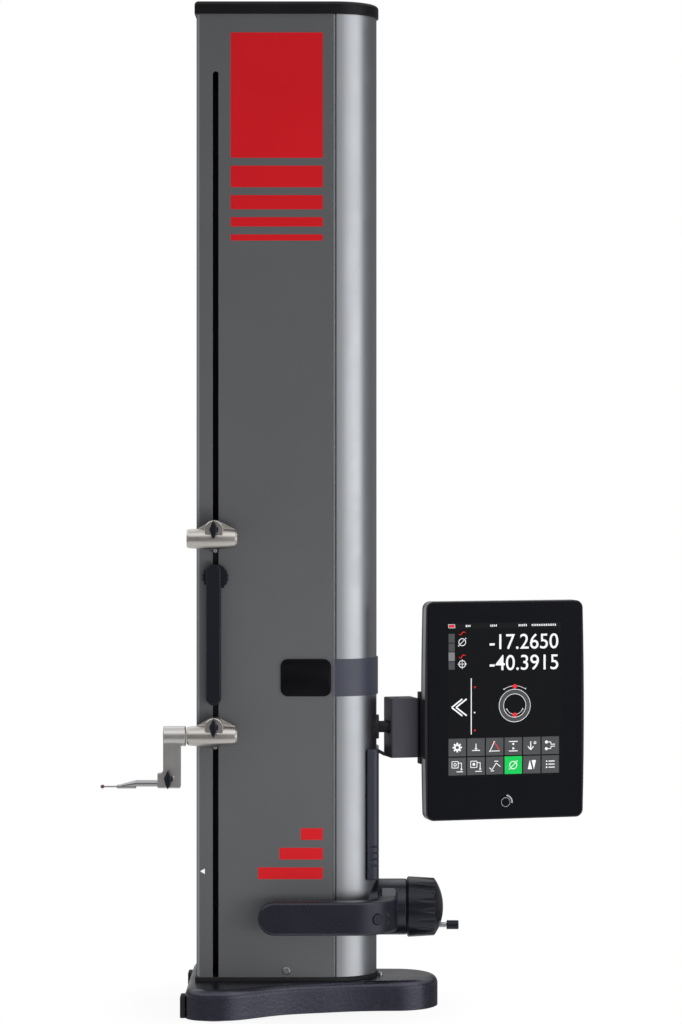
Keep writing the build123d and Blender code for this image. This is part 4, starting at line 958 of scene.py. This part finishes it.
class GAUGE_OT_screen(bpy.types.Operator):
    """Makes the lit screen with its readings, gauges and soft buttons."""

    bl_idname = "gauge.screen"
    bl_label = "Screen"

    def execute(self, context):
        settings = context.scene.gauge_screen
        width = settings.width / MM
        height = settings.height / MM
        self.backgrounds(settings, width, height)
        self.white_prints(settings)
        self.red_prints(settings)
        self.readings(settings)
        return {"FINISHED"}

    def backgrounds(self, settings, width, height):
        """Dark screen, status bar, gauge cells and the soft buttons' faces."""
        dark = ScreenLayer(settings, 0)
        dark.plate(width / 2, height / 2, width, height)
        dark.finish("screen_dark", printed("Screen dark", paint(10, 11, 13), 0.16, gloss=0.1))
        bar = ScreenLayer(settings)
        bar_height = settings.bar_height / MM
        bar.plate(width / 2, bar_height / 2, width, bar_height)
        bar.finish("screen_status_bar", printed("Screen black", paint(3, 3, 6), 0.16))
        grey = ScreenLayer(settings)
        green = ScreenLayer(settings)
        light = ScreenLayer(settings)
        cell_edges = (10.2, 20.0, 29.0, 38.7, 47.2)
        cell_gap = 0.7
        cell_middle = 4.6
        cell_width = 6.6
        for start, end, layer in zip(cell_edges, cell_edges[1:], (grey, grey, light, grey)):
            layer.plate(cell_middle, (start + end) / 2, cell_width, end - start - cell_gap)
        for row in range(2):
            for column in range(6):
                face = green if (column, row) == ACTIVE_BUTTON else grey
                right, down = button_middle(settings, column, row)
                face.plate(right, down, settings.button_width / MM, settings.button_height / MM)
        grey.ring(*DIAL, 16.7, 12.4)
        grey.finish("screen_buttons", printed("Screen grey", paint(66, 67, 69), 0.2))
        green.finish("screen_active_button", printed("Screen green", paint(0, 166, 70), 0.2, 0.25))
        light.finish("screen_gauge_step", printed("Screen light grey", paint(112, 113, 115), 0.2))

    def white_prints(self, settings):
        """Icons, rings, chevrons and lines in white."""
        layer = ScreenLayer(settings, 2)
        draw_diameter(layer, 15.7, 19.2, 4.0)
        draw_cross_circle(layer, 15.7, 41.4, 3.9)
        for shift in (0, 4.6):
            layer.path([(15.8 + shift, 76.8), (4.6 + shift, 85.2), (15.8 + shift, 93.8)], 1.5)
        layer.bar((25.2, 56.0), (25.2, 113.0), 0.9)
        layer.disc(28.8, 90.8, 1.3, sides=3, turn=180)
        self.dial(layer)
        icons = (
            (draw_gear, draw_foot, draw_angle, draw_between, draw_down_arrow, draw_branches),
            (None, None, draw_slope, None, draw_wedges, draw_list),
        )
        for row, line in enumerate(icons):
            for column, draw in enumerate(line):
                if draw:
                    draw(layer, *button_middle(settings, column, row))
        draw_store(layer, *button_middle(settings, 0, 1), False)
        draw_store(layer, *button_middle(settings, 1, 1), True)
        draw_diameter(layer, *button_middle(settings, 3, 1), 4.2)
        layer.path([(1.2, 1.2), (8.0, 1.2), (8.0, 4.7), (1.2, 4.7), (1.2, 1.2)], 0.35)
        tick_pitch = 1.9
        for start, count in ((20, 3), (46, 4), (76, 5), (90, 14)):
            for index in range(count):
                layer.plate(start + tick_pitch * index, 2.9, 1.1, 2.1)
        layer.finish("screen_icons", printed("Screen white", paint(214, 216, 218), 0.2, 0.12))

    def dial(self, layer):
        """Edges of the dial's ring, with a double-ended arrow over it and one inside it."""
        layer.ring(*DIAL, 17.1, 16.6)
        layer.ring(*DIAL, 12.3, 11.8)
        layer.ring(*DIAL, 20.6, 20.2, start=58, sweep=64)
        layer.ring(*DIAL, 9.4, 9.0, start=205, sweep=130)
        for angle, reach, ahead in ((56, 20.4, -90), (124, 20.4, 90), (203, 9.2, 90), (337, 9.2, -90)):
            turn = math.radians(angle)
            right = DIAL[0] + reach * math.cos(turn)
            down = DIAL[1] - reach * math.sin(turn)
            layer.disc(right, down, 1.0, sides=3, turn=angle + ahead)

    def red_prints(self, settings):
        """Battery level, probe marks and the two touch points in red."""
        layer = ScreenLayer(settings, 3)
        layer.plate(4.6, 2.95, 5.6, 2.4)
        for down in (9.4, 32.8):
            layer.path([(12.4, down + 1.6), (14.2, down + 2.6), (16.4, down - 0.6), (19.2, down)], 0.7)
        for down in (65.1, 108.8):
            layer.disc(29.0, down, 1.4, sides=3, turn=180)
        for down in (65.0, 93.9):
            layer.disc(DIAL[0], down, 2.3)
        right, down = button_middle(settings, 2, 0)
        layer.bar((right - 0.4, down - 4.8), (right + 5.4, down + 4.0), 0.8)
        layer.finish("screen_marks", printed("Screen red", paint(205, 32, 36), 0.2, 0.15))

    def readings(self, settings):
        """Two lines of plain figures."""
        white = printed("Reading white", paint(214, 216, 219), 0.2, 0.1)
        left = 44.7
        right_margin = 2.4
        width = settings.width - (left + right_margin) * MM
        lines = (("upper", settings.upper_reading, 27.1), ("lower", settings.lower_reading, 48.5))
        for name, words, down in lines:
            bm = text_mesh(words, width, settings.reading_height)
            across, height = screen_point(settings, left, down)
            spot = (across, GLASS_FACE - PRINT_THICKNESS, height)
            bmesh.ops.translate(bm, vec=spot, verts=bm.verts)
            display_print(f"{name}_reading", bm, white)


def place_at(x, y, z, turn=0.0):
    """Matrix of a small piece's own frame, in millimetres, turned about the vertical by degrees."""
    spot = Matrix.Translation((x * MM, y * MM, z * MM))
    return spot @ Matrix.Rotation(math.radians(turn), 4, "Z")


def add_screw(bm, x, y, z, radius, rise):
    """Domed screw head facing -Y, with a socket ring, its seat at (x, y, z) in millimetres."""
    profile = [(0, 0), (0, radius), (rise * 0.45, radius), (rise * 0.85, radius * 0.75),
               (rise, radius * 0.5), (rise * 0.5, radius * 0.42), (rise * 0.5, 0)]
    sizes = [(along * MM, out * MM) for along, out in profile]
    add_lathe(bm, sizes, (x * MM, y * MM, z * MM), axis="-Y", steps=24)


class GAUGE_OT_screws(bpy.types.Operator):
    """Makes the set screw of the probe holder, the bracket's screws and the screw on the base."""

    bl_idname = "gauge.screws"
    bl_label = "Small screws"

    def execute(self, context):
        settings = context.scene.gauge_fitting
        self.holder_screw(settings.set_screw / MM)
        self.bracket_screws(settings.bracket_screw / MM)
        self.foot_screw(settings.foot_screw / MM)
        return {"FINISHED"}

    def holder_screw(self, radius):
        """Set screw in the front of the probe holder's foot."""
        bm = bmesh.new()
        add_screw(bm, -114.0, -73.9, 243.0, radius, 0.7)
        finish_piece("holder_screw", bm, finish_named("Ground steel"), "probe_holder")

    def bracket_screws(self, radius):
        """Four screws that hold the bracket to the back of the display."""
        low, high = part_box("display_bracket")
        inset = 6.0
        bm = bmesh.new()
        for along in (31.0, 69.0):
            for height in (low.z / MM + inset, high.z / MM - inset):
                add_screw(bm, -along, 11.9, height, radius, 1.8)
        back = display_place() @ Matrix.Rotation(math.radians(180), 4, "Z")
        finish_piece("bracket_screws", bm, finish_named("Ground steel"), "display", back)

    def foot_screw(self, radius):
        """Upright clamping screw beside the column's round end, with a socket in its head."""
        bm = bmesh.new()
        socket = radius / 2
        profile = [(0, 0), (0, radius), (3.2, radius), (3.8, radius - 0.4), (3.8, socket), (2.4, socket),
                   (2.4, 0)]
        add_lathe(bm, [(along * MM, out * MM) for along, out in profile], (0, 0, 0), steps=24)
        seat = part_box("base_casting")[1].z / MM - 0.05
        upright = place_at(96.0, -8.0, seat) @ Matrix.Rotation(math.radians(-90), 4, "Y")
        finish_piece("foot_screw", bm, finish_named("Ground steel"), "stand", upright)


class GAUGE_OT_marks(bpy.types.Operator):
    """Makes the marks on the handle, and the print and painted highlight round the power button."""

    bl_idname = "gauge.marks"
    bl_label = "Marks"

    def execute(self, context):
        self.handle_marks(context.scene.gauge_fitting.mark_stroke)
        self.power_print_and_highlight()
        return {"FINISHED"}

    def handle_marks(self, stroke):
        """Two raised marks beside the button in the bend of the handle, above and below its middle."""
        raised = 0.3 * MM
        face = 0.02 * MM
        bm = bmesh.new()
        for rise, way in ((5.4, 1), (-5.4, -1)):
            corner = (-2.2 * MM, (rise - 1.5 * way) * MM)
            add_bar(bm, corner, (2.2 * MM, corner[1]), stroke, face, raised)
            add_bar(bm, corner, (corner[0], (rise + 1.7 * way) * MM), stroke, face, raised)
        turn = 52.0
        bend_radius = 43.0
        right = 70 + bend_radius * math.sin(math.radians(turn))
        front = -42 - bend_radius * math.cos(math.radians(turn))
        grey = printed("Mark grey", paint(50, 52, 59), 0.4)
        spot = place_at(right, front, 99.5, turn)
        finish_piece("handle_marks", bm, grey, "stand", spot)

    def power_print_and_highlight(self):
        """Painted highlight arc beside the power button, and the printed ring on its face."""
        light = printed("Print light grey", paint(150, 152, 156), 0.3)
        low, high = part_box("power_button")
        right = 106.65 * MM
        height = (low.z + high.z) / 2
        proud = 0.6 * MM
        bm = bmesh.new()
        # Painted highlight: a light grey arc where the edge beside the power button catches the light
        add_ring(bm, (right, GLASS_FACE, height), 7.8 * MM, 6.3 * MM, start=-10, sweep=90)
        display_print("power_highlight_arc", bm, light)
        bm = bmesh.new()
        add_ring(bm, (right, GLASS_FACE - proud, height), 4.9 * MM, 4.4 * MM)
        display_print("power_ring", bm, light, "power_button")


class GAUGE_OT_badge(bpy.types.Operator):
    """Makes the plain black badge with round corners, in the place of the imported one."""

    bl_idname = "gauge.badge"
    bl_label = "Badge"

    def execute(self, context):
        low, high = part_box("badge_plate")
        width = high.x - low.x - 2.4 * MM
        middle = (low.x + width / 2, high.y, (low.z + high.z) / 2)
        corner = context.scene.gauge_fitting.badge_corner
        bm = bmesh.new()
        add_plate(bm, middle, (width, high.z - low.z), high.y - low.y, corner=corner)
        faces = [face for face in bm.faces if face.normal.y < -0.9]
        rim = [edge for edge in bm.edges if len([f for f in edge.link_faces if f in faces]) == 1]
        bmesh.ops.bevel(
            bm, geom=rim, offset=0.35 * MM, affect="EDGES", segments=2, profile=0.5, material=-1
        )
        piece = finish_piece("badge", bm, finish_named("Badge gloss"), "stand")
        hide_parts("badge_plate")
        return {"FINISHED"}


class GAUGE_OT_covers(bpy.types.Operator):
    """Makes the display's side plate and the ring seal behind the crank's knob."""

    bl_idname = "gauge.covers"
    bl_label = "Side plate and seal"

    def execute(self, context):
        self.side_plate()
        self.crank_seal(context.scene.gauge_fitting)
        return {"FINISHED"}

    def side_plate(self):
        """Black plate on the display's side, between the hinge block and the glass."""
        block_low, block_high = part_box("hinge_block")
        height = (block_low.z + block_high.z) / 2
        tall = block_high.z - block_low.z
        left = 20.5
        bm = bmesh.new()
        for near, far, thick, taller in ((-35.6, -16.0, 0.8, 0.0), (-19.0, -9.0, 5.0, 13.0)):
            middle = ((left + thick / 2) * MM, far * MM, height)
            add_plate(
                bm, middle, (thick * MM, tall + taller * MM), (far - near) * MM, corner=0.3 * MM
            )
        finish_piece(
            "side_plate", bm, finish_named("Black anodised"), "display",
            display_place(), 20,
        )

    def crank_seal(self, settings):
        """Black ring in the gap between the crank's housing and its knob."""
        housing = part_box("handle_casting")[1].x
        low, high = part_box("crank_knob")
        bm = bmesh.new()
        gap = 0.2 * MM
        add_ring(bm, (0, 0, 0), settings.seal_outer, settings.seal_inner, low.x - housing - gap)
        place = Matrix.Translation((low.x - 0.75 * gap, 0, (low.z + high.z) / 2))
        turned = place @ Matrix.Rotation(math.radians(-90), 4, "Z")
        finish_piece("crank_seal", bm, finish_named("Rubber"), "stand", turned)


class GAUGE_OT_stage(bpy.types.Operator):
    """Makes the camera, the floor, the lights and the room."""

    bl_idname = "gauge.stage"
    bl_label = "Stage"

    def execute(self, context):
        settings = context.scene.gauge_stage
        self.camera(context, settings)
        self.floor(settings)
        self.lights(context, settings)
        self.room(context, settings)
        return {"FINISHED"}

    def camera(self, context, settings):
        """Level view camera."""
        lens = bpy.data.cameras.new("camera")
        lens.lens = settings.lens
        lens.sensor_width = 36
        lens.shift_x, lens.shift_y = settings.shift
        lens.clip_end = 50
        camera = bpy.data.objects.new("camera", lens)
        camera.location = settings.camera_place
        camera.rotation_euler = (math.radians(90), 0, 0)
        context.scene.collection.objects.link(camera)
        context.scene.camera = camera

    def floor(self, settings):
        """Round pale floor that fades to white away from the object."""
        bm = bmesh.new()
        bmesh.ops.create_circle(bm, cap_ends=True, segments=96, radius=settings.floor_radius)
        mesh = bpy.data.meshes.new("floor")
        bm.to_mesh(mesh)
        bm.free()
        made = bpy.data.materials.new("Floor")
        made.use_nodes = True
        tree = made.node_tree
        tree.nodes.clear()
        coordinates = object_coordinates(tree)
        away = node(tree, "ShaderNodeVectorMath", {0: coordinates}, operation="LENGTH")
        near_edge = 0.08
        far_edge = 0.2
        fade = stretch(tree, away.outputs["Value"], near_edge, far_edge, 0.9, 1.0)
        paper = node(tree, "ShaderNodeBsdfDiffuse", {"Color": (*settings.floor_colour, 1)})
        white = node(tree, "ShaderNodeEmission", {"Color": (1, 1, 1, 1), "Strength": 1.0})
        mixed = node(
            tree, "ShaderNodeMixShader", {0: fade, 1: paper.outputs[0], 2: white.outputs[0]}
        )
        node(tree, "ShaderNodeOutputMaterial", {"Surface": mixed.outputs[0]})
        mesh.materials.append(made)
        floor = bpy.data.objects.new("floor", mesh)
        bpy.context.scene.collection.objects.link(floor)
        floor.visible_glossy = False

    def lights(self, context, settings):
        """Softboxes at the front right, at the left, overhead and low in front."""
        aim_height = 0.45
        aim = Vector((0, 0, aim_height))
        boxes = (
            ("key", settings.key_power, (2.05, -1.60, 0.5), (0.7, 1.6)),
            ("fill", settings.fill_power, (-2.2, -1.3, 0.4), (0.9, 1.4)),
            ("top", settings.top_power, (0.2, -0.6, 2.6), (1.6, 1.2)),
            ("low", settings.low_power, (0.35, -1.0, 0.12), (0.9, 0.22)),
        )
        for name, power, place, size in boxes:
            light = bpy.data.lights.new(name, "AREA")
            light.shape = "RECTANGLE"
            light.size, light.size_y = size
            light.energy = power
            lamp = bpy.data.objects.new(name, light)
            lamp.location = place
            lamp.rotation_euler = (aim - Vector(place)).to_track_quat("-Z", "Y").to_euler()
            lamp.visible_camera = False
            lamp.visible_glossy = False
            context.scene.collection.objects.link(lamp)

    def levels(self, tree, share, stops):
        """Grey that follows the given stops, each a place from 0 to 1 and a level."""
        ramp = node(tree, "ShaderNodeValToRGB", {0: share})
        made = ramp.color_ramp.elements
        while len(made) < len(stops):
            made.new(0.5)
        for stop, (place, level) in zip(made, stops):
            stop.position = place
        for stop, (place, level) in zip(made, stops):
            stop.color = (level, level, level, 1)
        return ramp.outputs["Color"]

    def room(self, context, settings):
        """White for the camera, an even grey for soft light, and a studio in the reflections."""
        world = bpy.data.worlds.new("room")
        context.scene.world = world
        world.use_nodes = True
        tree = world.node_tree
        tree.nodes.clear()
        looked = node(tree, "ShaderNodeTexCoord")
        parts = node(tree, "ShaderNodeSeparateXYZ", {0: looked.outputs["Generated"]})
        towards = math_node(tree, "MULTIPLY", parts.outputs["Y"], -1.0)
        azimuth = math_node(tree, "ARCTAN2", parts.outputs["X"], towards)
        around = (
            (-180, 0.50), (-130, 0.34), (-75, 0.40), (-30, 0.26), (2, 0.26), (14, 0.38), (25, 0.76),
            (38, 1.14), (50, 1.34), (66, 1.42), (76, 1.2), (82, 0.34), (92, 0.24), (110, 0.18),
            (130, 0.17), (136, 0.26), (142, 0.15), (160, 0.20), (180, 0.50),
        )
        upward = (
            (-90, 0.30), (-20, 0.30), (-12, 0.42), (-7, 0.80), (-2, 1.06), (1, 1.08), (4, 0.98),
            (7, 0.74), (13, 0.50), (22, 0.40), (90, 0.40),
        )
        top_and_floor = (
            (-90, 0.50), (-40, 0.50), (-14, 0.0), (16, 0.0), (34, 0.62), (50, 0.95), (68, 0.60),
            (90, 0.40),
        )
        azimuth_share = stretch(tree, azimuth, -math.pi, math.pi, 0.0, 1.0)
        stops = [((angle + 180) / 360, level) for angle, level in around]
        beside = self.levels(tree, azimuth_share, stops)
        height_share = stretch(tree, parts.outputs["Z"], -1.0, 1.0, 0.0, 1.0)
        over, ceiling = (
            self.levels(
                tree, height_share,
                [((math.sin(math.radians(angle)) + 1) / 2, level) for angle, level in levels],
            )
            for levels in (upward, top_and_floor)
        )
        studio = math_node(tree, "ADD", math_node(tree, "MULTIPLY", beside, over), ceiling)
        rays = node(tree, "ShaderNodeLightPath")
        room = (settings.room_level,) * 3
        reflections = math_node(
            tree, "MAXIMUM", rays.outputs["Is Glossy Ray"], rays.outputs["Is Transmission Ray"]
        )
        seen = mix_colours(tree, reflections, room, studio)
        shown = mix_colours(tree, rays.outputs["Is Camera Ray"], seen, (1.0, 1.0, 1.0))
        background = node(tree, "ShaderNodeBackground", {"Strength": 1.0})
        tree.links.new(shown, background.inputs["Color"])
        node(tree, "ShaderNodeOutputWorld", {"Surface": background.outputs[0]})


class GAUGE_PT_panel(bpy.types.Panel):
    """Settings of the gauge, each group above the operators that use it."""

    bl_idname = "GAUGE_PT_panel"
    bl_label = "Height Gauge"
    bl_space_type = "VIEW_3D"
    bl_region_type = "UI"
    bl_category = "Height Gauge"

    def draw(self, context):
        scene = context.scene
        groups = (
            (scene.gauge_finish, (GAUGE_OT_finishes,)),
            (scene.gauge_panel, (GAUGE_OT_panels, GAUGE_OT_strips)),
            (scene.gauge_screen, (GAUGE_OT_screen,)),
            (scene.gauge_fitting, (GAUGE_OT_screws, GAUGE_OT_marks, GAUGE_OT_badge, GAUGE_OT_covers)),
            (scene.gauge_stage, (GAUGE_OT_stage,)),
        )
        for settings, operators in groups:
            box = self.layout.box()
            for name in settings.bl_rna.properties.keys():
                if name not in {"name", "rna_type"}:
                    box.prop(settings, name)
            for operator in operators:
                box.operator(operator.bl_idname)


SETTINGS = {
    "gauge_stage": StageSettings, "gauge_finish": FinishSettings, "gauge_panel": PanelSettings,
    "gauge_screen": ScreenSettings, "gauge_fitting": FittingSettings,
}
CLASSES = (
    *SETTINGS.values(), GAUGE_OT_finishes, GAUGE_OT_panels, GAUGE_OT_strips, GAUGE_OT_screen,
    GAUGE_OT_screws, GAUGE_OT_marks, GAUGE_OT_badge, GAUGE_OT_covers, GAUGE_OT_stage, GAUGE_PT_panel,
)


def register():
    for made in CLASSES:
        bpy.utils.register_class(made)
    for name, group in SETTINGS.items():
        setattr(bpy.types.Scene, name, PointerProperty(type=group))


def unregister():
    for name in SETTINGS:
        delattr(bpy.types.Scene, name)
    for made in reversed(CLASSES):
        bpy.utils.unregister_class(made)


def main():
    """Registers the add-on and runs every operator."""
    register()
    bpy.ops.gauge.finishes()
    bpy.ops.gauge.panels()
    bpy.ops.gauge.strips()
    bpy.ops.gauge.screen()
    bpy.ops.gauge.screws()
    bpy.ops.gauge.marks()
    bpy.ops.gauge.badge()
    bpy.ops.gauge.covers()
    bpy.ops.gauge.stage()
    bpy.context.scene.view_settings.view_transform = "Standard"
    bpy.context.view_layer.update()


if __name__ == "__main__":
    main()
